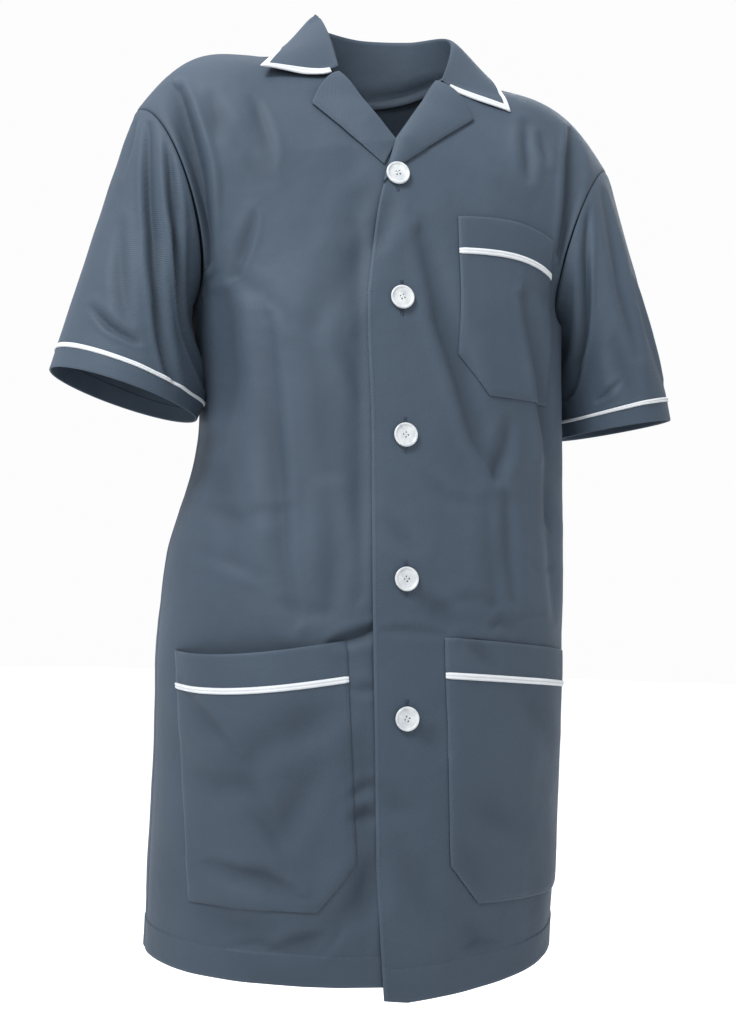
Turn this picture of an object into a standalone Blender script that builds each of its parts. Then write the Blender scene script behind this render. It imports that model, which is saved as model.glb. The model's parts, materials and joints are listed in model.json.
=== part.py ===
"""Short-sleeved medical tunic with a notched collar, made as the cut and sewn pieces of the real garment.

Units are metres. The front faces -Y, the wearer's left is +X and +Z is up. The origin is the middle of the
neck, level with the inner ends of the shoulder seams, where the wearer's shoulders carry the tunic.

Every panel is a surface over two numbers: "across", 0 at the centre line and 1 at the side seam or armhole,
and "height", which is -0.79 at the hem, -0.225 at the underarm and 0 at the shoulder seam. What lies on a
panel, such as a pocket or a lapel, takes the panel's own points and moves them out along its normals.
"""

from collections import namedtuple

import bmesh
import bpy
import numpy as np
from mathutils import Matrix, Vector

# ---------------------------------------------------------------- driving dimensions
CLOTH = 0.0010              # wall of every cloth piece
SEAM_GAP = 0.0003           # space left between two pieces at a seam
RIDGE_GAP = 0.0009          # wider space where two pieces meet at an angle, so their inner edges stay apart
PATCH_LIFT = 0.0019         # middle of a patch above the middle of the panel under it
HEM = -0.790                # height of the hem row
UNDERARM = -0.225           # height of the row at the underarm
VEE = -0.108                # height of the row at the bottom of the neck opening
OVERLAP_LIFT = 0.0013       # each front's move out of, or into, the shared surface where they overlap
FULLNESS = 0.64             # 0.55 gives elliptical rows, more gives squarer ones
NECK_X = 0.076              # shoulder seam's inner end
SHOULDER_Y = -0.012         # shoulder seams lie this far in front of the side seams
SHOULDER_BOW = 0.026        # height of the shoulder's curve over the straight line between its ends
NECK_ACROSS = 0.36          # the back panel's column that ends at the neck point
YOKE_DROP = 0.125           # how far below the shoulder seam the back's yoke shaping reaches
COLLAR_LIFT = 0.0024        # least height of the collar's middle above the middle of a panel
COLLAR_LEFT_DROP = 0.010    # how much lower the collar's left point hangs than its right one
PIPING_WIDTH = 0.0046
PIPING_WALL = 0.0017
BAND_HEIGHT = 0.028         # cloth above a pocket's piping
CUFF_HEIGHT = 0.029         # cloth below a sleeve's piping
BUTTON_RADIUS = 0.0100
BUTTON_THICKNESS = 0.0028

# ---------------------------------------------------------------- how finely the sections are cut
BODY_ROWS = 13              # rows from the hem to the underarm
CHEST_ROWS = 11             # rows from the underarm to the shoulder seam
FRONT_COLUMNS = 13
NECK_COLUMNS = 5
SHOULDER_COLUMNS = 8
SLEEVE_RING = 24            # points round a sleeve
COLLAR_COLUMNS = 33
POCKET_COLUMNS = 9
BUTTON_STEPS = 20

# ---------------------------------------------------------------- section tables
FrontRow = namedtuple("FrontRow", "height y right_z left_z sway")
FRONT_LINE = (
    FrontRow(-0.790, -0.1400, -0.7815, -0.7935, 0.0090),
    FrontRow(-0.700, -0.1405, -0.6990, -0.7010, 0.0060),
    FrontRow(-0.590, -0.1380, -0.5900, -0.5900, 0.0035),
    FrontRow(-0.470, -0.1310, -0.4700, -0.4700, 0.0015),
    FrontRow(-0.340, -0.1210, -0.3400, -0.3400, 0.0005),
    FrontRow(-0.225, -0.1100, -0.2250, -0.2250, 0.0000),
    FrontRow(-0.165, -0.0985, -0.1590, -0.1590, -0.0005),
    FrontRow(-0.108, -0.0850, -0.0900, -0.0900, -0.0010),
)
OverlapRow = namedtuple("OverlapRow", "height right left")
OVERLAP = (
    OverlapRow(-0.790, 0.0280, 0.0190),
    OverlapRow(-0.700, 0.0280, 0.0245),
    OverlapRow(-0.590, 0.0280, 0.0260),
    OverlapRow(-0.340, 0.0280, 0.0275),
    OverlapRow(-0.185, 0.0270, 0.0270),
    OverlapRow(-0.150, 0.0200, 0.0200),
    OverlapRow(-0.108, 0.0000, 0.0000),
)
CentreRow = namedtuple("CentreRow", "height x y z")
ROLL_LINE = (
    CentreRow(-0.108, 0.000, -0.0850, -0.0900),
    CentreRow(-0.064, 0.0245, -0.0680, -0.0545),
    CentreRow(-0.024, 0.0485, -0.0470, -0.0215),
    CentreRow(0.000, 0.0760, -0.0120, 0.0000),
)
BACK_LINE = (
    CentreRow(-0.790, 0.000, 0.1220, -0.7800),
    CentreRow(-0.600, 0.000, 0.1180, -0.5980),
    CentreRow(-0.500, 0.000, 0.1050, -0.5000),
    CentreRow(-0.380, 0.000, 0.0900, -0.3800),
    CentreRow(-0.225, 0.000, 0.1020, -0.2250),
    CentreRow(-0.120, 0.000, 0.1000, -0.1220),
    CentreRow(-0.050, 0.000, 0.0810, -0.0550),
    CentreRow(0.000, 0.000, 0.0580, -0.0100),
)

SideRow = namedtuple("SideRow", "height right_x left_x right_z left_z")
SIDE_SEAM = (
    SideRow(-0.790, 0.1830, 0.1730, -0.7760, -0.7600),
    SideRow(-0.700, 0.1810, 0.1760, -0.6910, -0.6850),
    SideRow(-0.600, 0.1790, 0.1780, -0.5960, -0.5950),
    SideRow(-0.500, 0.1780, 0.1810, -0.4990, -0.4990),
    SideRow(-0.440, 0.1725, 0.1805, -0.4400, -0.4400),
    SideRow(-0.340, 0.1475, 0.1780, -0.3400, -0.3400),
    SideRow(-0.225, 0.1580, 0.1780, -0.2250, -0.2250),
)

# One armhole and sleeve for each side: the shoulder point, the cuff's outer and inner points seen from the
# front, half its depth from front to back, and how far forward its middle lies.
SleeveForm = namedtuple("SleeveForm",
                        "shoulder_x shoulder_z outer_x outer_z inner_x inner_z half_depth forward")
SLEEVES = {
    "right": SleeveForm(0.209, -0.0650, 0.276, -0.288, 0.154, -0.324, 0.064, 0.015),
    "left": SleeveForm(0.223, -0.0750, 0.281, -0.302, 0.186, -0.320, 0.066, 0.015),
}
ARMHOLE_FRONT = 0.055       # how far the armhole reaches in front of the side seam
ARMHOLE_BACK = 0.060        # and behind it
ARMHOLE_SCOOP = 0.008       # how far its middle is cut in toward the body
# How a sleeve leaves the armhole at its top, underarm and front or back, and how far it runs straight at its hem.
Leave = namedtuple("Leave", "out down")
LEAVE_TOP = Leave(0.045, -0.120)
LEAVE_UNDER = Leave(0.050, -0.070)
LEAVE_SIDES = Leave(0.080, -0.080)
SLEEVE_STRAIGHT = 0.10
SLEEVE_LENGTH = 0.235       # along the sleeve's middle, from the armhole to the hem
SLEEVE_START = 0.006        # the share of that length left free at the armhole seam

# The collar from just past the middle of the back (turn 0) to its front end (turn 1), for the wearer's left.
CollarRow = namedtuple("CollarRow", "turn x y z")
COLLAR_SEAM = (
    CollarRow(-0.30, -0.0440, 0.0400, -0.0050),
    CollarRow(0.00, 0.000, 0.0575, -0.0085),
    CollarRow(0.30, 0.0440, 0.0400, -0.0050),
    CollarRow(0.62, 0.0760, -0.0110, 0.0030),
    CollarRow(0.85, 0.0590, -0.0350, -0.0110),
    CollarRow(1.00, 0.0475, -0.0490, -0.0200),
)
COLLAR_ROLL = (
    CollarRow(-0.30, -0.0410, 0.0320, 0.0410),
    CollarRow(0.00, 0.000, 0.0490, 0.0440),
    CollarRow(0.30, 0.0410, 0.0320, 0.0410),
    CollarRow(0.62, 0.0660, -0.0130, 0.0290),
    CollarRow(0.85, 0.0590, -0.0370, 0.0035),
    CollarRow(1.00, 0.0490, -0.0520, -0.0185),
)
COLLAR_EDGE = (
    CollarRow(-0.30, -0.0620, 0.0700, -0.0110),
    CollarRow(0.00, 0.000, 0.0900, -0.0150),
    CollarRow(0.30, 0.0620, 0.0700, -0.0110),
    CollarRow(0.62, 0.1030, -0.0040, 0.0060),
    CollarRow(0.85, 0.1070, -0.0400, -0.0140),
    CollarRow(1.00, 0.1110, -0.0600, -0.0360),
)
ROLL_SHARE = 0.35           # the part of the collar's depth that is its stand
COLLAR_TURN = 0.973         # where the collar's own cloth ends at the front, and the piping begins
COLLAR_SHARE = 0.950        # and at the outer edge
PIPING_START = 0.42         # where the front piping begins, just past the roll
COLLAR_PIPING_GAP = 0.004   # the share of turn and depth between the collar's cloth and its piping
COLLAR_END_STEPS = 5        # sections of the piping along each front end

# Lapels, seen from the front: where each starts on the roll line, its point, and the foot of its outer edge.
LapelForm = namedtuple("LapelForm", "start point_x point_z foot_x foot_z")
LAPELS = {
    "right": LapelForm(0.20, 0.071, -0.0605, 0.0137, -0.1085),
    "left": LapelForm(0.05, 0.071, -0.0605, 0.0045, -0.1110),
}
LAPEL_TOP = -0.030          # height on the roll line where the lapel meets the collar
LAPEL_LIFT = 0.0030

# Pockets, seen from the front: the top corner nearer the centre line, the width, the height, how far the
# pocket leans outward by its foot, how much lower the mouth's outer end and its middle hang, the corner cut off
# the bottom nearer the centre line, and how far the mouth stands off the panel.
PocketForm = namedtuple("PocketForm",
                        "side inner_x top_z width height lean tilt sag clip_x clip_z gape")
POCKETS = {
    "chest_pocket": PocketForm("left", 0.0515, -0.151, 0.092, 0.150, -0.003, 0.003, 0.0,
                               0.027, 0.033, 0.0),
    "hip_pocket_right": PocketForm("right", 0.0465, -0.507, 0.119, 0.214, -0.009, 0.012, 0.007,
                                   0.032, 0.038, 0.016),
    "hip_pocket_left": PocketForm("left", 0.0360, -0.502, 0.132, 0.215, 0.004, 0.011, 0.0,
                                  0.026, 0.032, 0.0),
}
ButtonPlace = namedtuple("ButtonPlace", "x z")
BUTTONS = (
    ButtonPlace(-0.0010, -0.1205),
    ButtonPlace(-0.0010, -0.2270),
    ButtonPlace(0.0010, -0.3400),
    ButtonPlace(0.0010, -0.4565),
    ButtonPlace(0.0005, -0.5680),
)

Finish = namedtuple("Finish", "red green blue roughness metallic")
FINISHES = {
    "cloth": Finish(0.107, 0.144, 0.195, 0.85, 0.0),
    "piping": Finish(0.70, 0.72, 0.74, 0.70, 0.0),
    "button": Finish(0.78, 0.77, 0.74, 0.25, 0.0),
}


# ---------------------------------------------------------------- curves through the tables
def smooth_step(start, end, value):
    """0 before start, 1 after end, and an even S between them."""
    share = np.clip((value - start) / (end - start), 0.0, 1.0)
    return share * share * (3.0 - 2.0 * share)


def through_rows(rows, column, at):
    """A smooth curve through one column of a table, read at the values given for its first column."""
    knots = np.array([row[0] for row in rows])
    values = np.array([getattr(row, column) for row in rows])
    steps = np.diff(knots)
    slopes = np.diff(values) / steps
    tangents = np.empty_like(values)
    tangents[0] = slopes[0]
    tangents[-1] = slopes[-1]
    tangents[1:-1] = (slopes[:-1] * steps[1:] + slopes[1:] * steps[:-1]) / (steps[1:] + steps[:-1])
    cell = np.clip(np.searchsorted(knots, at, side="right") - 1, 0, len(steps) - 1)
    share = np.clip((at - knots[cell]) / steps[cell], 0.0, 1.0)
    square = share * share
    cube = square * share
    return ((2 * cube - 3 * square + 1) * values[cell]
            + (cube - 2 * square + share) * steps[cell] * tangents[cell]
            + (3 * square - 2 * cube) * values[cell + 1]
            + (cube - square) * steps[cell] * tangents[cell + 1])


def row_points(rows, at):
    """Points along a table that has x, y and z columns."""
    return np.stack([through_rows(rows, column, at) for column in "xyz"], axis=-1)


def blend(first, second, share):
    return first + (second - first) * share


def unit(vectors):
    return vectors / np.maximum(np.linalg.norm(vectors, axis=-1, keepdims=True), 1e-12)


# ---------------------------------------------------------------- the panels' shared surface
def armhole(side, climb, forward):
    """The armhole, from the underarm (climb 0) to the shoulder point (climb 1), on its front or back."""
    form = SLEEVES[side]
    under = SIDE_SEAM[-1]
    under_x = under.right_x if side == "right" else under.left_x
    turn = np.pi * climb
    rise = (1.0 - np.cos(turn)) / 2.0
    depth = -ARMHOLE_FRONT if forward else ARMHOLE_BACK
    x = under_x + (form.shoulder_x - under_x) * rise - ARMHOLE_SCOOP * np.sin(turn)
    y = SHOULDER_Y * rise + depth * np.sin(turn)
    z = UNDERARM + (form.shoulder_z - UNDERARM) * rise
    return np.stack([x, y, z], axis=-1)


def side_points(side, height, forward):
    """The panel's outer edge: the side seam, and the armhole above it. X is measured outward."""
    x = through_rows(SIDE_SEAM, side + "_x", height)
    z = through_rows(SIDE_SEAM, side + "_z", height)
    seam = np.stack([x, np.zeros_like(x), z], axis=-1)
    climb = np.clip(1.0 - height / UNDERARM, 0.0, 1.0)
    return np.where((height > UNDERARM)[..., None], armhole(side, climb, forward), seam)


def panel_rows(centre, side, across, height):
    """Rows from a centre line to a side line: round at the body and straight along the shoulder."""
    climb = np.clip(1.0 - height / UNDERARM, 0.0, 1.0)
    round_share = (1.0 - climb ** 2)[..., None]
    reach = side - centre
    near = blend(reach / 3.0, reach * np.array([FULLNESS, 0.0, 1.0 / 3.0]), round_share)
    far = blend(reach * 2.0 / 3.0, reach * np.array([1.0, 1.0 - FULLNESS, 2.0 / 3.0]), round_share)
    share = across[..., None]
    rest = 1.0 - share
    points = centre + 3 * rest ** 2 * share * near + 3 * rest * share ** 2 * far + share ** 3 * reach
    bow = SHOULDER_BOW * np.sin(np.pi * np.abs(across) ** 1.5) * smooth_step(0.40, 1.0, climb)
    return points + np.stack([np.zeros_like(bow), np.zeros_like(bow), bow], axis=-1)


def front_half(side, across, height):
    """The front for across from 0 to 1, with x measured outward."""
    lower = np.minimum(height, VEE)
    y = through_rows(FRONT_LINE, "y", lower)
    below = np.stack([np.zeros_like(y), y, through_rows(FRONT_LINE, side + "_z", lower)], axis=-1)
    above = row_points(ROLL_LINE, np.maximum(height, VEE))
    centre = np.where((height > VEE)[..., None], above, below)
    return panel_rows(centre, side_points(side, height, True), across, height)


def back_half(side, across, height):
    """The back for across from 0 to 1, with x measured outward."""
    points = panel_rows(row_points(BACK_LINE, height), side_points(side, height, False), across, height)
    top = np.zeros_like(height)
    nape = row_points(BACK_LINE, top)
    shoulder = side_points(side, top, False)
    turn = np.clip(across / NECK_ACROSS, 0.0, 1.0) * np.pi / 2
    neckline = np.stack([NECK_X * np.sin(turn), SHOULDER_Y + (nape[..., 1] - SHOULDER_Y) * np.cos(turn),
                         nape[..., 2] * np.cos(turn)], axis=-1)
    outer = np.clip((across - NECK_ACROSS) / (1.0 - NECK_ACROSS), 0.0, 1.0)[..., None]
    bow = SHOULDER_BOW * np.sin(np.pi * outer ** 1.5) * np.array([0.0, 0.0, 1.0])
    shoulder_seam = blend(np.array([NECK_X, SHOULDER_Y, 0.0]), shoulder, outer) + bow
    seam = np.where((across > NECK_ACROSS)[..., None], shoulder_seam, neckline)
    flat = panel_rows(nape, shoulder, across, top)
    climb = np.clip((height + YOKE_DROP) / YOKE_DROP, 0.0, 1.0)
    return points + (seam - flat) * (climb ** 2)[..., None]


def mirrored(half, side, across, height):
    """One half panel in the garment's frame. Across below 0 runs on past the centre line as a mirror image."""
    points = half(side, np.abs(across), height)
    outward = np.where(across < 0.0, -1.0, 1.0) * (1.0 if side == "left" else -1.0)
    x = points[..., 0] * outward
    if half is front_half:
        x = x + through_rows(FRONT_LINE, "sway", height) * (1.0 - across ** 2) ** 2
    return np.concatenate([x[..., None], points[..., 1:]], axis=-1)


def panel_normals(half, side, across, height):
    """Outward unit normals of a half panel."""
    step = 1e-4
    low = np.maximum(height - step, HEM)
    high = np.minimum(height + step, 0.0)
    along = mirrored(half, side, across, high) - mirrored(half, side, across, low)
    left = np.minimum(across + step, 1.0)
    right = left - 2 * step
    over = mirrored(half, side, left, height) - mirrored(half, side, right, height)
    sign = (1.0 if side == "left" else -1.0) * (1.0 if half is front_half else -1.0)
    return unit(np.cross(over, along)) * sign


def lifted(half, side, across, height, lift):
    """Points of a half panel, moved out along its normals."""
    return mirrored(half, side, across, height) + panel_normals(half, side, across, height) * lift[..., None]


def find_on_front(side, x, z):
    """Across and height of the front's points that have the given outward x and z."""
    across = x / 0.30
    height = z.copy()
    step = 1e-4
    for _ in range(25):
        here = front_half(side, across, height)
        by_across = (front_half(side, across + step, height) - here) / step
        by_height = (front_half(side, across, height + step) - here) / step
        miss_x = x - here[..., 0]
        miss_z = z - here[..., 2]
        scale = by_across[..., 0] * by_height[..., 2] - by_height[..., 0] * by_across[..., 2]
        across = across + (miss_x * by_height[..., 2] - miss_z * by_height[..., 0]) / scale
        height = height + (miss_z * by_across[..., 0] - miss_x * by_across[..., 2]) / scale
        across = np.clip(across, 0.0, 1.0)
        height = np.clip(height, HEM, 0.0)
    return across, height


def front_wall(side, across, height, lift):
    """The middle of a front's cloth, moved out by lift. The left front lies on the right one."""
    outward = 1.0 if side == "left" else -1.0
    near_centre = 1.0 - smooth_step(0.10, 0.30, across)
    return lifted(front_half, side, across, height, outward * OVERLAP_LIFT * near_centre + lift)


def body_samples():
    """Points and outward normals of the panels' upper parts."""
    across, height = np.meshgrid(np.linspace(0.0, 1.0, 40), np.linspace(-0.16, 0.0, 40))
    points = []
    normals = []
    for side in ("right", "left"):
        for half in (front_half, back_half):
            points.append(mirrored(half, side, across, height).reshape(-1, 3))
            normals.append(panel_normals(half, side, across, height).reshape(-1, 3))
    return np.concatenate(points), np.concatenate(normals)


def rest_on_body(points, lift):
    """Points moved out along the nearest panel's normal wherever they would lie lower than lift above it."""
    samples, normals = body_samples()
    flat = points.reshape(-1, 3)
    for _ in range(3):
        nearest = np.array([np.argmin(((samples - point) ** 2).sum(axis=1)) for point in flat])
        above = ((flat - samples[nearest]) * normals[nearest]).sum(axis=1)
        flat = flat + normals[nearest] * np.maximum(lift - above, 0.0)[:, None]
    return flat.reshape(points.shape)


# ---------------------------------------------------------------- solids
def finish_material(name, finish):
    material = bpy.data.materials.new(name)
    material.use_nodes = True
    shader = material.node_tree.nodes["Principled BSDF"]
    shader.inputs["Base Color"].default_value = (finish.red, finish.green, finish.blue, 1.0)
    shader.inputs["Roughness"].default_value = finish.roughness
    shader.inputs["Metallic"].default_value = finish.metallic
    return material


def add_object(name, mesh, collection, finish):
    piece = bpy.data.objects.new(name, mesh)
    collection.objects.link(piece)
    mesh.materials.append(finish_material(name, FINISHES[finish]))
    return piece


def add_sheet(name, points, collection, finish, wall=CLOTH, closed=False):
    """A cloth wall with its middle on a grid of points, which may close on itself along its rows."""
    rows, columns = points.shape[:2]
    mesh = bpy.data.meshes.new(name)
    shell = bmesh.new()
    verts = [[shell.verts.new(point) for point in row] for row in points]
    last = columns if closed else columns - 1
    for row in range(rows - 1):
        for column in range(last):
            after = (column + 1) % columns
            shell.faces.new((verts[row][column], verts[row][after],
                             verts[row + 1][after], verts[row + 1][column]))
    bmesh.ops.recalc_face_normals(shell, faces=shell.faces)
    shell.to_mesh(mesh)
    shell.free()
    mesh.shade_smooth()
    piece = add_object(name, mesh, collection, finish)
    solid = piece.modifiers.new("Wall", "SOLIDIFY")
    solid.thickness = wall
    solid.offset = 0.0
    return piece


def panel_heights():
    """The heights of a panel's rows, which are closer above the underarm."""
    below = np.linspace(HEM, UNDERARM, BODY_ROWS)
    above = np.linspace(UNDERARM, 0.0, CHEST_ROWS)
    return np.concatenate([below, above[1:]])


def build_front(side, collection):
    """A front from its free edge and roll line to the side seam and armhole."""
    rows = panel_heights()
    height, share = np.meshgrid(rows, np.linspace(0.0, 1.0, FRONT_COLUMNS), indexing="ij")
    width = through_rows(OVERLAP, side, height)
    start = -width / (3 * FULLNESS * through_rows(SIDE_SEAM, side + "_x", height))
    across = start + (1.0 - start) * share
    points = front_wall(side, across, height, np.zeros_like(across))
    points[:, -1, 1] -= np.where(rows <= UNDERARM, SEAM_GAP / 2, 0.0)
    points[-1, :, 1] -= RIDGE_GAP / 2
    return add_sheet("front_" + side, points, collection, "cloth")


def build_back(collection):
    """The back, from side seam to side seam, with the neckline and both shoulder seams at its top."""
    rows = panel_heights()
    inner = np.linspace(0.0, NECK_ACROSS, NECK_COLUMNS)
    outer = np.linspace(NECK_ACROSS, 1.0, SHOULDER_COLUMNS)[1:]
    shares = np.concatenate([inner, outer])
    height, across = np.meshgrid(rows, shares, indexing="ij")
    right = mirrored(back_half, "right", across, height)[:, ::-1]
    left = mirrored(back_half, "left", across, height)
    middle = (right[:, -1:] + left[:, :1]) / 2
    points = np.concatenate([right[:, :-1], middle, left[:, 1:]], axis=1)
    for edge in (0, -1):
        points[:, edge, 1] += np.where(rows <= UNDERARM, SEAM_GAP / 2, 0.0)
    points[-1, :, 1] += RIDGE_GAP / 2
    return add_sheet("back", points, collection, "cloth")


def sleeve_points(side, turns, reach):
    """A sleeve's rings: turn 0 at the shoulder, 0.25 in front; reach 0 at the armhole, 1 at the hem."""
    form = SLEEVES[side]
    turn, along = np.meshgrid(turns, reach)
    forward = turn < 0.5
    climb = np.abs(1.0 - 2.0 * turn)
    start = np.where(forward[..., None], armhole(side, climb, True), armhole(side, climb, False))
    outer = np.array([form.outer_x, -form.forward, form.outer_z])
    inner = np.array([form.inner_x, -form.forward, form.inner_z])
    middle = (outer + inner) / 2
    angle = (2 * np.pi * turn)[..., None]
    end = (middle + (outer - inner) / 2 * np.cos(angle)
           + np.array([0.0, -form.half_depth, 0.0]) * np.sin(angle))
    lean = unit(outer - inner)
    axis = np.array([lean[2], 0.0, -lean[0]])
    upper = np.clip(np.cos(angle), 0.0, 1.0)
    lower = np.clip(-np.cos(angle), 0.0, 1.0)
    middle_part = np.abs(np.sin(angle))
    leave = (upper * np.array([LEAVE_TOP.out, 0.0, LEAVE_TOP.down])
             + lower * np.array([LEAVE_UNDER.out, 0.0, LEAVE_UNDER.down])
             + middle_part * np.array([LEAVE_SIDES.out, 0.0, LEAVE_SIDES.down]))
    seat = np.array([1.0, 0.0, 0.0]) * (SEAM_GAP + RIDGE_GAP * (1.0 - upper))
    s = along[..., None]
    points = ((2 * s ** 3 - 3 * s ** 2 + 1) * (start + seat) + (s ** 3 - 2 * s ** 2 + s) * leave
              + (3 * s ** 2 - 2 * s ** 3) * end + (s ** 3 - s ** 2) * axis * SLEEVE_STRAIGHT)
    if side == "right":
        points = points * np.array([-1.0, 1.0, 1.0])
    return points


def build_sleeve(side, collection):
    """The sleeve, its piping and its band, one below the other."""
    band = 1.0 - CUFF_HEIGHT / SLEEVE_LENGTH
    piping = band - PIPING_WIDTH / SLEEVE_LENGTH
    gap = SEAM_GAP / SLEEVE_LENGTH
    turns = np.linspace(0.0, 1.0, SLEEVE_RING + 1)[:-1]
    pieces = (
        ("sleeve_" + side, np.linspace(SLEEVE_START, piping - gap, 8), CLOTH, "cloth"),
        ("sleeve_piping_" + side, np.array([piping, band]), PIPING_WALL, "piping"),
        ("sleeve_band_" + side, np.array([band + gap, (1.0 + band) / 2, 1.0]), CLOTH, "cloth"),
    )
    for name, reach, wall, finish in pieces:
        add_sheet(name, sleeve_points(side, turns, reach), collection, finish, wall, closed=True)


def collar_points(turn, share):
    """The collar from its seam (share 0) over the roll to its outer edge (share 1)."""
    around = np.abs(turn)
    seam = row_points(COLLAR_SEAM, around)
    roll = row_points(COLLAR_ROLL, around)
    edge = row_points(COLLAR_EDGE, around)
    outward = unit((edge - roll) * np.array([1.0, 1.0, 0.0]))
    stand = np.clip(share / ROLL_SHARE, 0.0, 1.0)[..., None]
    fall = np.clip((share - ROLL_SHARE) / (1.0 - ROLL_SHARE), 0.0, 1.0)[..., None]
    rising = blend(seam, roll, stand)
    dip = (0.004 - 0.018 * around ** 6)[..., None] * np.array([0.0, 0.0, 1.0])
    crown = roll + outward * 0.010 + dip
    rest = 1.0 - fall
    falling = (rest ** 3 * roll + 3 * rest ** 2 * fall * crown
               + 3 * rest * fall ** 2 * blend(roll, edge, 0.70) + fall ** 3 * edge)
    points = np.where(fall > 0.0, falling, rising)
    points[..., 2] -= COLLAR_LEFT_DROP * np.where(turn > 0.0, around ** 5, 0.0) * fall[..., 0]
    points[..., 0] *= np.where(turn < 0.0, -1.0, 1.0)
    return rest_on_body(points, COLLAR_LIFT)


def build_collar(collection):
    """The collar as one folded sheet, and its piping along the front ends and the outer edge."""
    turn, share = np.meshgrid(np.linspace(-COLLAR_TURN, COLLAR_TURN, COLLAR_COLUMNS),
                              np.array([0.0, 0.17, 0.35, 0.43, 0.55, 0.70, 0.85, COLLAR_SHARE]))
    add_sheet("collar", collar_points(turn, share), collection, "cloth")
    gap = COLLAR_PIPING_GAP
    count = COLLAR_END_STEPS
    ends = np.linspace(PIPING_START, COLLAR_SHARE + gap, count + 1)
    turns = np.linspace(COLLAR_TURN + gap, -COLLAR_TURN - gap, COLLAR_COLUMNS)
    first = np.concatenate([np.full(count, turns[0]), turns, np.full(count, turns[-1])])
    depth = np.concatenate([ends[:-1], np.full(COLLAR_COLUMNS, ends[-1]), ends[-2::-1]])
    outer_turn = np.concatenate([np.full(count, 1.0), turns / turns[0], np.full(count, -1.0)])
    wide = PIPING_START + (ends - PIPING_START) * (1.0 - PIPING_START) / (ends[-1] - PIPING_START)
    outer_depth = np.concatenate([wide[:-1], np.full(COLLAR_COLUMNS, 1.0), wide[-2::-1]])
    points = np.stack([collar_points(first, depth), collar_points(outer_turn, outer_depth)])
    add_sheet("collar_piping", points, collection, "piping", PIPING_WALL)


def build_lapel(side, collection):
    """A lapel from the roll line to its outer edge, lying on the front."""
    form = LAPELS[side]
    along, share = np.meshgrid(np.linspace(form.start, 1.0, 8), np.linspace(0.0, 1.0, 6), indexing="ij")
    roll = row_points(ROLL_LINE, VEE + (LAPEL_TOP - VEE) * along)
    x = blend(roll[..., 0], blend(form.foot_x, form.point_x, along), share)
    z = blend(roll[..., 2], blend(form.foot_z, form.point_z, along), share)
    across, height = find_on_front(side, x, z)
    lift = PATCH_LIFT + LAPEL_LIFT * np.sin(np.pi * share) ** 0.7
    return add_sheet("lapel_" + side, front_wall(side, across, height, lift), collection, "cloth")


def pocket_grid(form, rows, columns):
    """Across, height and lift of a pocket's points, from the top edge (row 0) to the bottom edge (row 1)."""
    row, column = np.meshgrid(rows, columns, indexing="ij")
    drop = row * form.height
    cut = np.clip((drop - form.height + form.clip_z) / form.clip_z, 0.0, 1.0)
    hang = (form.tilt * column + form.sag * np.sin(np.pi * column)) * (1.0 - row)
    z = form.top_z - drop - hang
    left, left_height = find_on_front(form.side, form.inner_x + form.lean * row + form.clip_x * cut, z)
    right, right_height = find_on_front(form.side, form.inner_x + form.lean * row + form.width, z)
    mouth = (1.0 - smooth_step(0.0, 0.85, row)) * np.sin(np.pi * column) ** 1.2
    across = blend(left, right, column)
    return across, blend(left_height, right_height, column), PATCH_LIFT + form.gape * mouth


def build_pocket(name, collection):
    """A patch pocket: its band, the piping below the band, and the patch with its cut corner."""
    form = POCKETS[name]
    band = BAND_HEIGHT / form.height
    piping = band + PIPING_WIDTH / form.height
    gap = SEAM_GAP / form.height
    clip = 1.0 - form.clip_z / form.height
    columns = np.linspace(0.0, 1.0, POCKET_COLUMNS)
    body = np.concatenate([np.linspace(piping + gap, clip, 6), [(1.0 + clip) / 2, 1.0]])
    pieces = (
        ("", body, CLOTH, "cloth"),
        ("_piping", np.array([band, piping]), PIPING_WALL, "piping"),
        ("_band", np.array([0.0, band - gap]), CLOTH, "cloth"),
    )
    for suffix, rows, wall, finish in pieces:
        across, height, lift = pocket_grid(form, rows, columns)
        if finish == "piping":
            lift = lift + (PIPING_WALL - CLOTH) / 2
        add_sheet(name + suffix, front_wall(form.side, across, height, lift), collection, finish, wall)


def build_buttons(collection):
    """Turned buttons on the overlap, each square to the cloth under it."""
    radius = BUTTON_RADIUS
    thick = BUTTON_THICKNESS
    profile = ((0.0, 0.0), (radius * 0.86, 0.0), (radius, thick * 0.45), (radius * 0.93, thick),
               (radius * 0.74, thick * 0.80), (0.0, thick * 0.72))
    for number, place in enumerate(BUTTONS, start=1):
        name = f"button_{number}"
        shell = bmesh.new()
        verts = [shell.verts.new((x, 0.0, up)) for x, up in reversed(profile)]
        edges = [shell.edges.new(pair) for pair in zip(verts, verts[1:])]
        bmesh.ops.spin(shell, geom=verts + edges, cent=(0, 0, 0), axis=(0, 0, 1), angle=2 * np.pi,
                       steps=BUTTON_STEPS, use_merge=True)
        bmesh.ops.remove_doubles(shell, verts=shell.verts, dist=1e-6)
        bmesh.ops.recalc_face_normals(shell, faces=shell.faces)
        mesh = bpy.data.meshes.new(name)
        shell.to_mesh(mesh)
        shell.free()
        piece = add_object(name, mesh, collection, "button")
        across, height = find_on_front("left", np.array([0.0]), np.array([place.z]))
        across = across + place.x / (3 * FULLNESS * 0.18)
        seat = front_wall("left", across, height, np.array([CLOTH / 2 + 2 * SEAM_GAP]))[0]
        normal = panel_normals(front_half, "left", across, height)[0]
        turn = Vector(normal).to_track_quat("Z", "Y")
        piece.matrix_world = Matrix.Translation(Vector(seat)) @ turn.to_matrix().to_4x4()


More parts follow.
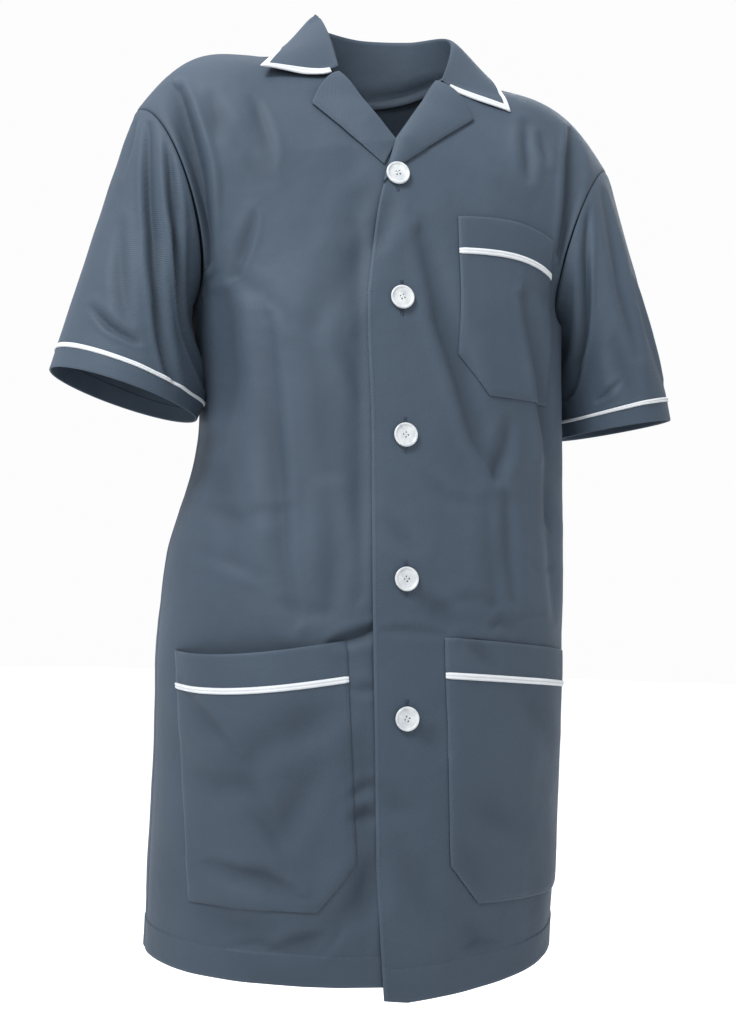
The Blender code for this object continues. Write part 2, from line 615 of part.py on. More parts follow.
def main():
    for item in list(bpy.data.objects):
        bpy.data.objects.remove(item, do_unlink=True)
    collection = bpy.data.collections.new("medical_tunic")
    bpy.context.scene.collection.children.link(collection)
    build_back(collection)
    for side in ("right", "left"):
        build_front(side, collection)
        build_sleeve(side, collection)
        build_lapel(side, collection)
    build_collar(collection)
    for name in POCKETS:
        build_pocket(name, collection)
    build_buttons(collection)


main()
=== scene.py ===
"""Looks of the short-sleeved medical tunic: worn cloth with its folds, seams, piping, pockets and buttons.

Units are metres in the part's own frame: the front faces -Y, the wearer's left is +X and +Z is up.
Every panel is a surface over "across", 0 at the centre line and 1 at the side seam or armhole, and
"height", -0.79 at the hem and 0 at the shoulder seam, as in the part's source. Patches take the
panel's folded points, moved out.
"""

from __future__ import annotations

import json
import logging
import math
from collections.abc import Sequence
from dataclasses import dataclass, field, replace
from enum import Enum

import bpy
import numpy as np
from mathutils import Matrix, Vector, noise
from mathutils.kdtree import KDTree

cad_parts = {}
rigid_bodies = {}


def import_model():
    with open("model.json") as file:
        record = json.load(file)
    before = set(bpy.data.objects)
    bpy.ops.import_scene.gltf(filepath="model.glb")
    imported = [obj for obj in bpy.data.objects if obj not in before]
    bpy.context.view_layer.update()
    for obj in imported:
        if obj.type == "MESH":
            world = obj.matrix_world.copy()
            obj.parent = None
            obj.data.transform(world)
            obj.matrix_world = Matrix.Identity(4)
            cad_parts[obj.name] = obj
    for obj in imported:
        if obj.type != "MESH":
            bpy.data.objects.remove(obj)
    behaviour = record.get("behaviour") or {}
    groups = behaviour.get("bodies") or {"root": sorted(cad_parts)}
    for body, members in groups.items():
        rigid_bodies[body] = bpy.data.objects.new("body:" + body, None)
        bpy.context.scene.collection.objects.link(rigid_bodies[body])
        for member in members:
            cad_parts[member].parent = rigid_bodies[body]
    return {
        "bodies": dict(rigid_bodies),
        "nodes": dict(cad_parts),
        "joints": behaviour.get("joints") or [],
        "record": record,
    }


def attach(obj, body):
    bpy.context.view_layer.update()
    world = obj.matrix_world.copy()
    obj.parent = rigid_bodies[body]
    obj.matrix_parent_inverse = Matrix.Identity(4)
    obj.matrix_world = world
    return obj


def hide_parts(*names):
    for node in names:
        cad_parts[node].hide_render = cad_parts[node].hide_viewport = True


LOG = logging.getLogger("tunic")
UP = np.array([0.0, 0.0, 1.0])
BACK_AND_UP = np.array([0.0, 1.0, 0.4])
Array = np.ndarray
Tint = tuple[float, float, float]
Piece = bpy.types.Object
Material = bpy.types.Material


class Side(Enum):
    """The wearer's own sides."""

    RIGHT = "right"
    LEFT = "left"

    @property
    def sign(self) -> float:
        """-1 for the wearer's right, where x is negative, and 1 for the left."""
        return -1.0 if self is Side.RIGHT else 1.0


class Panel(Enum):
    """The two kinds of body panel."""

    FRONT = "front"
    BACK = "back"


# ---------------------------------------------------------------- curves and vectors
def smooth_step(start: float, end: float, value: Array) -> Array:
    """0 before start, 1 after end, and an even S between them."""
    share = np.clip((value - start) / (end - start), 0.0, 1.0)
    return share * share * (3.0 - 2.0 * share)


def blend(first: Array, second: Array, share: Array | float) -> Array:
    """The mix of two values, first at share 0 and second at share 1."""
    return first + (second - first) * share


def unit(vectors: Array) -> Array:
    """The vectors at length 1."""
    return vectors / np.maximum(np.linalg.norm(vectors, axis=-1, keepdims=True), 1e-12)


def soft_noise(points: Array, scale: tuple[float, float, float], seed: float) -> Array:
    """Smooth noise at points.

    Args:
        points: Any grid of points, with x, y and z last.
        scale: The size of the noise's cells along x, y and z, in metres.
        seed: Moves the noise to another place.

    Returns:
        One number for each point, from about -1 to 1.
    """
    cells = points.reshape(-1, 3) / np.array(scale) + seed
    values = [noise.noise(Vector(cell)) for cell in cells]
    return np.array(values).reshape(points.shape[:-1])


@dataclass(frozen=True)
class Wave:
    """Unevenness of the cloth: the size of its cells in metres, its place in the noise and its height."""

    cell: tuple[float, float, float]
    seed: float
    height: float

    def lift(self, points: Array) -> Array:
        """How far it moves the cloth out at the points."""
        return soft_noise(points, self.cell, self.seed) * self.height


BODY_WAVES = (Wave((0.060, 0.30, 0.150), 3.7, 0.0021), Wave((0.022, 0.10, 0.045), 9.1, 0.00085),
              Wave((0.009, 0.05, 0.012), 5.3, 0.00018))
SLEEVE_WAVES = (Wave((0.045, 0.045, 0.080), 1.9, 0.0014), Wave((0.016, 0.016, 0.030), 7.7, 0.0004))
COLLAR_WAVE = Wave((0.03, 0.03, 0.03), 4.4, 0.0005)


@dataclass(frozen=True)
class Table:
    """Rows of sizes with named columns, read as smooth curves over the first column."""

    columns: str
    rows: tuple[tuple[float, ...], ...]

    def at(self, column: str, where: Array) -> Array:
        """A smooth curve through one column.

        Args:
            column: The column's name.
            where: Values of the first column to read it at.

        Returns:
            The curve's values there.
        """
        place = self.columns.split().index(column)
        knots = np.array([row[0] for row in self.rows])
        values = np.array([row[place] for row in self.rows])
        steps = np.diff(knots)
        slopes = np.diff(values) / steps
        inner = (slopes[:-1] * steps[1:] + slopes[1:] * steps[:-1]) / (steps[1:] + steps[:-1])
        tangents = np.concatenate([slopes[:1], inner, slopes[-1:]])
        cell = np.clip(np.searchsorted(knots, where, side="right") - 1, 0, len(steps) - 1)
        share = np.clip((where - knots[cell]) / steps[cell], 0.0, 1.0)
        square = share * share
        cube = square * share
        return ((2 * cube - 3 * square + 1) * values[cell]
                + (cube - 2 * square + share) * steps[cell] * tangents[cell]
                + (3 * square - 2 * cube) * values[cell + 1]
                + (cube - square) * steps[cell] * tangents[cell + 1])

    def points(self, where: Array) -> Array:
        """Points along a table that has x, y and z columns."""
        return np.stack([self.at(column, where) for column in "xyz"], axis=-1)


# ---------------------------------------------------------------- folds
@dataclass(frozen=True)
class Fold:
    """One soft trough along a path, with a low ridge on either side.

    Its width is the trough's half width and its depth how far it sinks. Its path's points are x and z
    in the front view, or places round and along a sleeve. All are in millimetres. Lean above 0 makes
    its left side, looking along the path, the steeper one. A negative depth is a ridge.
    """

    name: str
    width: float
    depth: float
    path: tuple[tuple[float, float], ...]
    lean: float = 0.0
    ridge: float = 0.35
    only: Side | None = None

    def lift(self, u: Array, v: Array) -> Array:
        """How far the fold moves the cloth out at the places u and v.

        Args:
            u: Places along the path's first axis.
            v: Places along its second.

        Returns:
            Distances in metres.
        """
        path = np.array(self.path) / 1000.0
        lengths = np.linalg.norm(np.diff(path, axis=0), axis=1)
        marks = np.concatenate([[0.0], np.cumsum(lengths)])
        nearest = np.full(u.shape, np.inf)
        aside = np.zeros(u.shape)
        along = np.zeros(u.shape)
        for start, end, length, mark in zip(path, path[1:], lengths, marks):
            step = (end - start) / length
            run = np.clip((u - start[0]) * step[0] + (v - start[1]) * step[1], 0.0, length)
            off_u = u - start[0] - run * step[0]
            off_v = v - start[1] - run * step[1]
            distance = np.hypot(off_u, off_v)
            closer = distance < nearest
            nearest = np.where(closer, distance, nearest)
            aside = np.where(closer, np.sign(off_v * step[0] - off_u * step[1]), aside)
            along = np.where(closer, (mark + run) / marks[-1], along)
        width = self.width / 1000.0 * (1.0 - self.lean * aside) * (0.75 + 0.25 * np.sin(np.pi * along))
        taper = np.sin(np.pi * np.clip(0.12 + 0.76 * along, 0.0, 1.0)) ** 0.8
        across = nearest / width
        trough = np.exp(-across ** 2)
        shoulder = self.ridge * np.exp(-((across - 2.0) / 0.9) ** 2)
        return -self.depth / 1000.0 * taper * (trough - shoulder)


@dataclass(frozen=True)
class FoldField:
    """All the folds of one surface, calmed near given places."""

    folds: tuple[Fold, ...]
    calm: tuple[tuple[float, float], ...] = ()
    calm_radius: float = 0.016

    def lift(self, u: Array, v: Array, side: Side | None = None) -> Array:
        """The sum of the folds.

        Args:
            u: Places across the surface.
            v: Places along it.
            side: The front that the cloth belongs to, for folds of one front alone.

        Returns:
            How far the cloth moves out at each place.
        """
        total = np.zeros(u.shape)
        for fold in self.folds:
            if fold.only is None or fold.only is side:
                total = total + fold.lift(u, v)
        for place in self.calm:
            distance = np.hypot(u - place[0], v - place[1])
            total = total * (1.0 - np.exp(-(distance / self.calm_radius) ** 2))
        return total


FRONT_FOLDS = (
    Fold("armhole_right", 9, 8.7, ((-179, -53), (-170, -93), (-162, -128), (-158, -162), (-154, -198)), 0.4),
    Fold("armhole_left", 8, 6.5, ((171, -51), (163, -82), (160, -111), (153, -167)), -0.4),
    Fold("yoke_right_outer", 7, 2.2, ((-152, -61), (-150, -78), (-149, -96))),
    Fold("yoke_right_inner", 7, 2.4, ((-117, -66), (-112, -88), (-104, -111)), 0.3),
    Fold("shoulder_right", 9, 1.8, ((-143, -83), (-123, -108), (-113, -131))),
    Fold("dart_right", 4.5, 2.6, ((-118, -164), (-123, -183), (-131, -210)), 0.3),
    Fold("cross_right", 14, 3.2, ((-26, -175), (-47, -210), (-67, -247))),
    Fold("collar_right", 11, 2.2, ((-20, -135), (-37, -158), (-47, -169))),
    Fold("long_right", 8, 3.8, ((-108, -247), (-101, -314), (-97, -379), (-94, -444), (-85, -491)), 0.3),
    Fold("side_right", 9, 3.8, ((-140, -229), (-131, -295), (-137, -344))),
    Fold("waist_right", 12, 3.2, ((-146, -341), (-137, -395), (-129, -444))),
    Fold("mid_right", 12, 2.3, ((-75, -257), (-65, -314), (-59, -370))),
    Fold("low_right", 9, 2.9, ((-59, -395), (-56, -443), (-59, -484))),
    Fold("sag_right", 5, 6.5, ((-56, -507), (-38, -501), (-18, -494)), 0.3, 0.2, Side.RIGHT),
    Fold("placket_valley", 9, 3.2,
         ((-34, -170), (-36, -250), (-36, -360), (-35, -470)), 0.3, 0.25, Side.RIGHT),
    Fold("placket_valley_low", 9, 2.3, ((-30, -560), (-26, -650), (-22, -740)), 0.3, 0.25, Side.RIGHT),
    Fold("chest_left", 10, 5.2,
         ((17, -172), (25, -207), (32, -242), (50, -291), (65, -340), (84, -368)), -0.3),
    Fold("chest_left_branch", 7, 3.8, ((84, -368), (92, -347), (95, -324))),
    Fold("underarm_left", 9, 4.6, ((112, -215), (129, -282), (140, -332), (144, -401)), -0.3),
    Fold("side_left", 7, 3.8, ((93, -388), (97, -433), (101, -471))),
    Fold("side_left_inner", 9, 2.6, ((76, -393), (82, -438), (84, -476))),
    Fold("far_left", 8, 3.2, ((132, -359), (145, -418), (150, -478))),
    Fold("yoke_left", 6, 3.5, ((121, -58), (120, -82), (119, -107))),
    Fold("yoke_left_outer", 5, 2.9, ((134, -68), (138, -89))),
    Fold("placket_twist", 9, 2.9, ((-6, -140), (-12, -160), (-18, -180))),
    Fold("button_crease_a", 8, 2.0, ((-13, -409), (-2, -420), (10, -431))),
    Fold("button_crease_b", 8, 2.6, ((15, -467), (32, -480), (52, -491)), 0.3),
    Fold("sag_left", 4, 1.9, ((-18, -497), (6, -496), (38, -500)), 0.3),
    Fold("dimple_left", 5, 2.6, ((80, -493), (90, -488), (99, -496))),
    Fold("pocket_right_a", 8, 4.1, ((-154, -556), (-141, -575), (-126, -594)), 0.3),
    Fold("pocket_right_b", 12, 3.8, ((-148, -619), (-136, -625), (-122, -620), (-116, -605), (-107, -591))),
    Fold("pocket_right_c", 11, 3.0, ((-113, -628), (-102, -648), (-94, -659), (-80, -633), (-66, -607))),
    Fold("pocket_right_d", 14, 3.5, ((-101, -588), (-81, -576), (-56, -563))),
    Fold("pocket_right_foot", 9, 4.6, ((-140, -689), (-123, -694), (-105, -696), (-84, -705)), 0.3),
    Fold("hem_right_a", 8, 3.5, ((-92, -750), (-76, -745), (-60, -740)), 0.3),
    Fold("hem_right_b", 12, 4.3, ((-47, -731), (-30, -711), (-22, -686))),
    Fold("hem_right_c", 12, 2.6, ((-141, -726), (-122, -735), (-106, -743))),
    Fold("pucker_a", 5, 2.6, ((-40, -544), (-31, -545), (-21, -545)), 0.0, 0.3, Side.RIGHT),
    Fold("pucker_b", 6, 3.2, ((-38, -646), (-29, -644), (-18, -646)), 0.0, 0.3, Side.RIGHT),
    Fold("pucker_c", 5, 2.3, ((-39, -628), (-30, -623), (-20, -619)), 0.0, 0.3, Side.RIGHT),
    Fold("button_low", 9, 2.6, ((18, -575), (26, -583), (34, -591))),
    Fold("pocket_left_a", 8, 3.2, ((55, -506), (67, -514), (79, -524))),
    Fold("pocket_left_b", 14, 3.0, ((68, -641), (84, -650), (103, -660))),
    Fold("pocket_left_c", 12, 2.4, ((112, -547), (123, -564), (135, -585))),
    Fold("pocket_left_d", 12, 2.3, ((54, -668), (66, -689), (72, -708))),
    Fold("hem_left_a", 9, 1.8, ((60, -739), (68, -746), (77, -753))),
    Fold("hem_left_b", 14, 2.6, ((0, -672), (18, -701), (29, -729))),
    Fold("chest_crease_a", 7.0, 1.1, ((-131, -212), (-112, -228), (-90, -252))),
    Fold("chest_crease_b", 6.0, 0.9, ((-52, -262), (-40, -286), (-34, -312)), 0.2),
    Fold("waist_crease_a", 6.5, 1.2, ((-156, -398), (-124, -410), (-90, -402)), 0.2),
    Fold("waist_crease_b", 6.0, 1.1, ((-160, -438), (-134, -446), (-112, -458)), -0.2),
    Fold("waist_crease_c", 5.5, 0.9, ((-98, -478), (-76, -486), (-60, -482))),
    Fold("belly_crease_a", 5.5, 1.0, ((18, -372), (40, -388), (66, -392)), 0.2),
    Fold("belly_crease_b", 3.5, 1.1, ((108, -436), (128, -446), (150, -442)), -0.2),
    Fold("hip_crease_a", 5.5, 1.2, ((30, -478), (60, -470), (92, -476)), 0.2),
    Fold("hip_crease_b", 3.0, 1.0, ((106, -486), (128, -482), (152, -488))),
    Fold("pocket_right_line", 3.5, 1.4, ((-118, -640), (-100, -662), (-86, -690)), 0.2),
    Fold("hem_crease_a", 3.5, 1.3, ((-128, -752), (-108, -748), (-88, -754))),
    Fold("hem_crease_b", 3.0, 1.1, ((-62, -756), (-52, -748), (-44, -734))),
    Fold("hem_crease_c", 3.5, 1.2, ((52, -756), (70, -750), (92, -752)), 0.2),
    Fold("skirt_ridge_left", 13, -1.6, ((140, -640), (146, -700), (142, -748))),
    Fold("placket_low", 10, 2.0, ((-14, -628), (-2, -637), (10, -642))),
)
BACK_FOLDS = (
    Fold("blade_left", 11, 5.0, ((148, -90), (132, -150), (126, -210), (118, -270)), 0.3),
    Fold("blade_right", 12, 5.2, ((-146, -85), (-134, -140), (-128, -200), (-110, -262)), -0.3),
    Fold("yoke_left", 9, 2.8, ((85, -80), (74, -130), (70, -170))),
    Fold("yoke_right", 9, 2.5, ((-80, -85), (-66, -140), (-60, -185))),
    Fold("nape", 16, 2.0, ((-50, -55), (0, -66), (52, -56))),
    Fold("waist_a", 12, 4.2, ((30, -260), (42, -330), (40, -400), (52, -470)), 0.3),
    Fold("waist_b", 10, 3.8, ((-40, -280), (-48, -350), (-44, -430))),
    Fold("waist_c", 9, 3.0, ((95, -310), (98, -370), (88, -440)), -0.3),
    Fold("waist_d", 11, 3.2, ((-96, -300), (-104, -380), (-96, -460))),
    Fold("small_back_a", 7, 2.8, ((-60, -386), (-10, -398), (50, -382)), 0.3),
    Fold("small_back_b", 6, 2.0, ((-30, -414), (24, -424), (70, -412)), 0.3),
    Fold("skirt_a", 15, 4.0, ((60, -540), (70, -640), (66, -740))),
    Fold("skirt_b", 14, 3.8, ((-54, -520), (-66, -630), (-62, -750))),
    Fold("skirt_c", 13, 2.8, ((126, -560), (132, -660), (124, -730))),
    Fold("skirt_d", 13, 3.0, ((-128, -530), (-134, -650), (-130, -720))),
    Fold("seat", 12, 2.2, ((-10, -500), (4, -590), (-6, -680))),
)
SLEEVE_FOLDS = {
    Side.RIGHT: (
        Fold("outer_drape", 8, 6.4, ((34, 14), (85, 80), (106, 125), (130, 196)), 0.4),
        Fold("inner_drape", 8, 6.7, ((62, 6), (130, 80), (166, 140), (184, 176)), 0.4),
        Fold("upper_soft", 8, 3.1, ((54, 98), (84, 160))),
        Fold("elbow_crease", 4.5, 3.9, ((50, 166), (72, 176), (96, 180)), 0.3),
        Fold("under_bulge", 30, -8.5, ((184, 40), (190, 110), (194, 210)), 0.0, 0.0),
        Fold("cap", 6, 2.5, ((12, 20), (30, 60))),
        Fold("behind_a", 9, 5.0, ((270, 30), (300, 90), (320, 150))),
        Fold("behind_b", 8, 3.6, ((350, 20), (356, 80), (340, 130))),
    ),
    Side.LEFT: (
        Fold("inner_drape", 8, 5.3, ((76, 10), (120, 60), (160, 100), (178, 150)), 0.4),
        Fold("under_bulge", 26, -6.0, ((190, 40), (196, 110), (198, 210)), 0.0, 0.0),
        Fold("outer_ridge", 6, -2.5, ((50, 96), (44, 180))),
        Fold("outer_drape", 9, 3.6, ((50, 20), (78, 90), (86, 150))),
        Fold("low_soft", 12, 3.1, ((110, 130), (104, 190))),
        Fold("elbow_crease", 5, 2.2, ((120, 168), (146, 180))),
        Fold("behind_a", 9, 4.8, ((276, 30), (306, 90), (316, 150))),
        Fold("behind_b", 8, 3.4, ((344, 20), (350, 80), (338, 140))),
    ),
}


# ---------------------------------------------------------------- the garment's surfaces
@dataclass(frozen=True)
class SleeveForm:
    """One armhole and sleeve: the shoulder point, the cuff seen from the front, and its depth."""

    shoulder_x: float
    shoulder_z: float
    outer_x: float
    outer_z: float
    inner_x: float
    inner_z: float
    half_depth: float
    forward: float
    scoop: float
    front_depth: float


SLEEVES = {
    Side.RIGHT: SleeveForm(0.209, -0.0650, 0.276, -0.288, 0.154, -0.324, 0.064, 0.015, 0.016, 0.058),
    Side.LEFT: SleeveForm(0.223, -0.0750, 0.281, -0.302, 0.186, -0.320, 0.066, 0.015, 0.038, 0.070),
}
BUTTON_PLACES = ((-.0010, -.1205), (-.0010, -.2270), (.0010, -.3400), (.0010, -.4565), (.0005, -.5680))


@dataclass(frozen=True)
class Spots:
    """Places on a half panel: across from 0 at the centre line, and below 0 past it, to 1 at the side."""

    panel: Panel
    side: Side
    across: Array
    height: Array


@dataclass(frozen=True)
class BodyPattern:
    """The body's surfaces, worked out from the garment's sizes as in the part's source."""

    cloth: float = 0.0010
    patch_lift: float = 0.0019
    hem: float = -0.790
    underarm: float = -0.225
    vee: float = -0.108
    overlap_lift: float = 0.0013
    fullness: float = 0.64
    neck_x: float = 0.076
    shoulder_y: float = -0.012
    shoulder_bow: float = 0.026
    neck_across: float = 0.36
    yoke_drop: float = 0.125
    armhole_back: float = 0.060
    back_scoop: float = 0.008
    hem_height: float = 0.026
    hem_rise: float = 0.00045
    front_line: Table = Table("height y right_z left_z sway", (
        (-0.79, -0.14, -0.7815, -0.7935, 0.009),
        (-0.7, -0.1405, -0.699, -0.701, 0.006),
        (-0.59, -0.138, -0.59, -0.59, 0.0035),
        (-0.47, -0.131, -0.47, -0.47, 0.0015),
        (-0.34, -0.121, -0.34, -0.34, 0.0005),
        (-0.225, -0.11, -0.225, -0.225, 0.0),
        (-0.165, -0.0985, -0.159, -0.159, -0.0005),
        (-0.108, -0.085, -0.09, -0.09, -0.001)))
    overlap: Table = Table("height right left", (
        (-0.79, 0.028, 0.019),
        (-0.7, 0.028, 0.0245),
        (-0.59, 0.028, 0.026),
        (-0.34, 0.028, 0.0275),
        (-0.185, 0.027, 0.027),
        (-0.15, 0.02, 0.02),
        (-0.108, 0.0, 0.0)))
    roll_line: Table = Table("height x y z", (
        (-0.108, 0.0, -0.085, -0.09),
        (-0.064, 0.0245, -0.068, -0.0545),
        (-0.024, 0.0485, -0.047, -0.0215),
        (0.0, 0.076, -0.012, 0.0)))
    back_line: Table = Table("height x y z", (
        (-0.79, 0.0, 0.122, -0.78),
        (-0.6, 0.0, 0.118, -0.598),
        (-0.5, 0.0, 0.105, -0.5),
        (-0.38, 0.0, 0.09, -0.38),
        (-0.225, 0.0, 0.102, -0.225),
        (-0.12, 0.0, 0.1, -0.122),
        (-0.05, 0.0, 0.081, -0.055),
        (0.0, 0.0, 0.058, -0.01)))
    side_seam: Table = Table("height right_x left_x right_z left_z", (
        (-0.79, 0.183, 0.173, -0.776, -0.76),
        (-0.7, 0.181, 0.176, -0.691, -0.685),
        (-0.6, 0.179, 0.178, -0.596, -0.595),
        (-0.5, 0.178, 0.181, -0.499, -0.499),
        (-0.44, 0.1725, 0.1805, -0.44, -0.44),
        (-0.34, 0.1475, 0.178, -0.34, -0.34),
        (-0.225, 0.158, 0.178, -0.225, -0.225)))
    folds: dict[Panel, FoldField] = field(default_factory=lambda: {
        Panel.FRONT: FoldField(FRONT_FOLDS, BUTTON_PLACES),
        Panel.BACK: FoldField(BACK_FOLDS),
    })

    def armhole(self, side: Side, climb: Array, forward: bool) -> Array:
        """The armhole on the front or back, from the underarm (climb 0) to the shoulder point (climb 1).

        Args:
            side: The wearer's side.
            climb: Shares of the way up.
            forward: Whether it is the front's.

        Returns:
            Points with x measured outward.
        """
        form = SLEEVES[side]
        under_x = self.side_seam.at(side.value + "_x", np.array([self.underarm]))[0]
        turn = np.pi * climb
        rise = (1.0 - np.cos(turn)) / 2.0
        depth = -form.front_depth if forward else self.armhole_back
        scoop = form.scoop if forward else self.back_scoop
        x = under_x + (form.shoulder_x - under_x) * rise - scoop * np.sin(turn)
        y = self.shoulder_y * rise + depth * np.sin(turn)
        z = self.underarm + (form.shoulder_z - self.underarm) * rise
        return np.stack([x, y, z], axis=-1)

    def side_points(self, side: Side, height: Array, forward: bool) -> Array:
        """The panel's outer edge, with x measured outward: the side seam, and the armhole above it.

        Args:
            side: The wearer's side.
            height: -0.79 at the hem to 0 at the shoulder seam.
            forward: Whether it is the front's.

        Returns:
            Points of the edge.
        """
        x = self.side_seam.at(side.value + "_x", height)
        z = self.side_seam.at(side.value + "_z", height)
        seam = np.stack([x, np.zeros_like(x), z], axis=-1)
        climb = np.clip(1.0 - height / self.underarm, 0.0, 1.0)
        return np.where((height > self.underarm)[..., None], self.armhole(side, climb, forward), seam)

    def panel_rows(self, centre: Array, outer: Array, across: Array, height: Array) -> Array:
        """Rows from a centre line to a side line: round at the body and straight along the shoulder.

        Args:
            centre: Points of the centre line.
            outer: Points of the side line.
            across: 0 at the centre line to 1 at the side.
            height: -0.79 at the hem to 0 at the shoulder seam.

        Returns:
            Points between them.
        """
        climb = np.clip(1.0 - height / self.underarm, 0.0, 1.0)
        round_share = (1.0 - climb ** 2)[..., None]
        reach = outer - centre
        full = self.fullness
        near = blend(reach / 3.0, reach * np.array([full, 0.0, 1.0 / 3.0]), round_share)
        far = blend(reach * 2.0 / 3.0, reach * np.array([1.0, 1.0 - full, 2.0 / 3.0]), round_share)
        share = across[..., None]
        rest = 1.0 - share
        points = centre + 3 * rest ** 2 * share * near + 3 * rest * share ** 2 * far + share ** 3 * reach
        bow = self.shoulder_bow * np.sin(np.pi * np.abs(across) ** 1.5) * smooth_step(0.40, 1.0, climb)
        return points + bow[..., None] * UP

    def front_half(self, side: Side, across: Array, height: Array) -> Array:
        """The unfolded front for across from 0 to 1, with x measured outward.

        Args:
            side: The wearer's side.
            across: 0 at the centre line to 1 at the side.
            height: -0.79 at the hem to 0 at the shoulder seam.

        Returns:
            The points.
        """
        lower = np.minimum(height, self.vee)
        y = self.front_line.at("y", lower)
        below = np.stack([np.zeros_like(y), y, self.front_line.at(side.value + "_z", lower)], axis=-1)
        above = self.roll_line.points(np.maximum(height, self.vee))
        centre = np.where((height > self.vee)[..., None], above, below)
        return self.panel_rows(centre, self.side_points(side, height, True), across, height)

    def back_half(self, side: Side, across: Array, height: Array) -> Array:
        """The unfolded back for across from 0 to 1, with x measured outward.

        Args:
            side: The wearer's side.
            across: 0 at the centre line to 1 at the side.
            height: -0.79 at the hem to 0 at the shoulder seam.

        Returns:
            The points.
        """
        outer = self.side_points(side, height, False)
        points = self.panel_rows(self.back_line.points(height), outer, across, height)
        top = np.zeros_like(height)
        nape = self.back_line.points(top)
        shoulder = self.side_points(side, top, False)
        turn = np.clip(across / self.neck_across, 0.0, 1.0) * np.pi / 2
        neckline = np.stack([self.neck_x * np.sin(turn),
                             self.shoulder_y + (nape[..., 1] - self.shoulder_y) * np.cos(turn),
                             nape[..., 2] * np.cos(turn)], axis=-1)
        beyond = np.clip((across - self.neck_across) / (1.0 - self.neck_across), 0.0, 1.0)[..., None]
        bow = self.shoulder_bow * np.sin(np.pi * beyond ** 1.5) * UP
        seam = blend(np.array([self.neck_x, self.shoulder_y, 0.0]), shoulder, beyond) + bow
        top_line = np.where((across > self.neck_across)[..., None], seam, neckline)
        flat = self.panel_rows(nape, shoulder, across, top)
        climb = np.clip((height + self.yoke_drop) / self.yoke_drop, 0.0, 1.0)
        return points + (top_line - flat) * (climb ** 2)[..., None]

    def half(self, spots: Spots) -> Array:
        """One unfolded half panel in the garment's frame.

        Args:
            spots: The places.

        Returns:
            The points.
        """
        build = self.front_half if spots.panel is Panel.FRONT else self.back_half
        points = build(spots.side, np.abs(spots.across), spots.height)
        x = points[..., 0] * np.where(spots.across < 0.0, -1.0, 1.0) * spots.side.sign
        if spots.panel is Panel.FRONT:
            x = x + self.front_line.at("sway", spots.height) * (1.0 - spots.across ** 2) ** 2
        return np.concatenate([x[..., None], points[..., 1:]], axis=-1)

    def normals(self, spots: Spots) -> Array:
        """Outward unit normals of an unfolded half panel.

        Args:
            spots: The places.

        Returns:
            The normals.
        """
        step = 1e-4
        low = replace(spots, height=np.maximum(spots.height - step, self.hem))
        high = replace(spots, height=np.minimum(spots.height + step, 0.0))
        right = replace(spots, across=np.minimum(spots.across + step, 1.0))
        left = replace(spots, across=right.across - 2 * step)
        out = unit(np.cross(self.half(right) - self.half(left), self.half(high) - self.half(low)))
        return out * spots.side.sign * (1.0 if spots.panel is Panel.FRONT else -1.0)

    def fold_lift(self, spots: Spots, points: Array) -> Array:
        """How far the cloth's folds, its unevenness and its turned hem move it along its normal.

        Args:
            spots: The places.
            points: Their unfolded points.

        Returns:
            Distances in metres.
        """
        height = spots.height
        front = spots.panel is Panel.FRONT
        lift = self.folds[spots.panel].lift(points[..., 0], points[..., 2], spots.side)
        wave = sum(wave.lift(points) for wave in BODY_WAVES)
        aside = np.abs(points[..., 0])
        out = np.abs(spots.across)
        calm = 1.0 - smooth_step(-0.100, -0.045, points[..., 2]) * smooth_step(0.13, 0.07, aside)
        placket = smooth_step(0.012, 0.050, aside) if front else 1.0
        seam = smooth_step(1.0, 0.93, out) * smooth_step(-0.001, -0.040, height)
        raw = (lift + wave * calm * (0.35 + 0.65 * placket)) * (0.08 + 0.92 * seam)
        dip = -0.0006 * smooth_step(0.988, 1.0, out)
        hem = self.hem_rise * smooth_step(0.0010, -0.0010, height - self.hem - self.hem_height)
        return raw + dip + hem

    def folded(self, spots: Spots, lift: Array | float) -> Array:
        """Points of a worn half panel, with the folds in them.

        Args:
            spots: The places.
            lift: How far out from the middle of the cloth the points lie.

        Returns:
            The points in the garment's frame.
        """
        points = self.half(spots)
        out = self.fold_lift(spots, points) + lift
        if spots.panel is Panel.FRONT:
            out = out + spots.side.sign * self.overlap_lift * (1.0 - smooth_step(0.10, 0.30, spots.across))
        return points + self.normals(spots) * np.asarray(out)[..., None]

    def find_on_front(self, side: Side, x: Array, z: Array) -> tuple[Array, Array]:
        """Across and height of the front's points that have the given outward x and z.

        Args:
            side: The wearer's side.
            x: Distances out from the centre line.
            z: Heights in the garment's frame.

        Returns:
            Across and height.
        """
        across = x / 0.30
        height = z.copy()
        step = 1e-4
        for _ in range(25):
            here = self.front_half(side, across, height)
            by_across = (self.front_half(side, across + step, height) - here) / step
            by_height = (self.front_half(side, across, height + step) - here) / step
            miss_x = x - here[..., 0]
            miss_z = z - here[..., 2]
            scale = by_across[..., 0] * by_height[..., 2] - by_height[..., 0] * by_across[..., 2]
            across = across + (miss_x * by_height[..., 2] - miss_z * by_height[..., 0]) / scale
            height = height + (miss_z * by_across[..., 0] - miss_x * by_across[..., 2]) / scale
            across = np.clip(across, -0.15, 1.0)
            height = np.clip(height, self.hem, 0.0)
        return across, height

    def free_edge(self, side: Side, height: Array) -> Array:
        """Across at a front's free edge, which lies past the centre line below the neck opening."""
        width = self.overlap.at(side.value, height)
        return -width / (3 * self.fullness * self.side_seam.at(side.value + "_x", height))


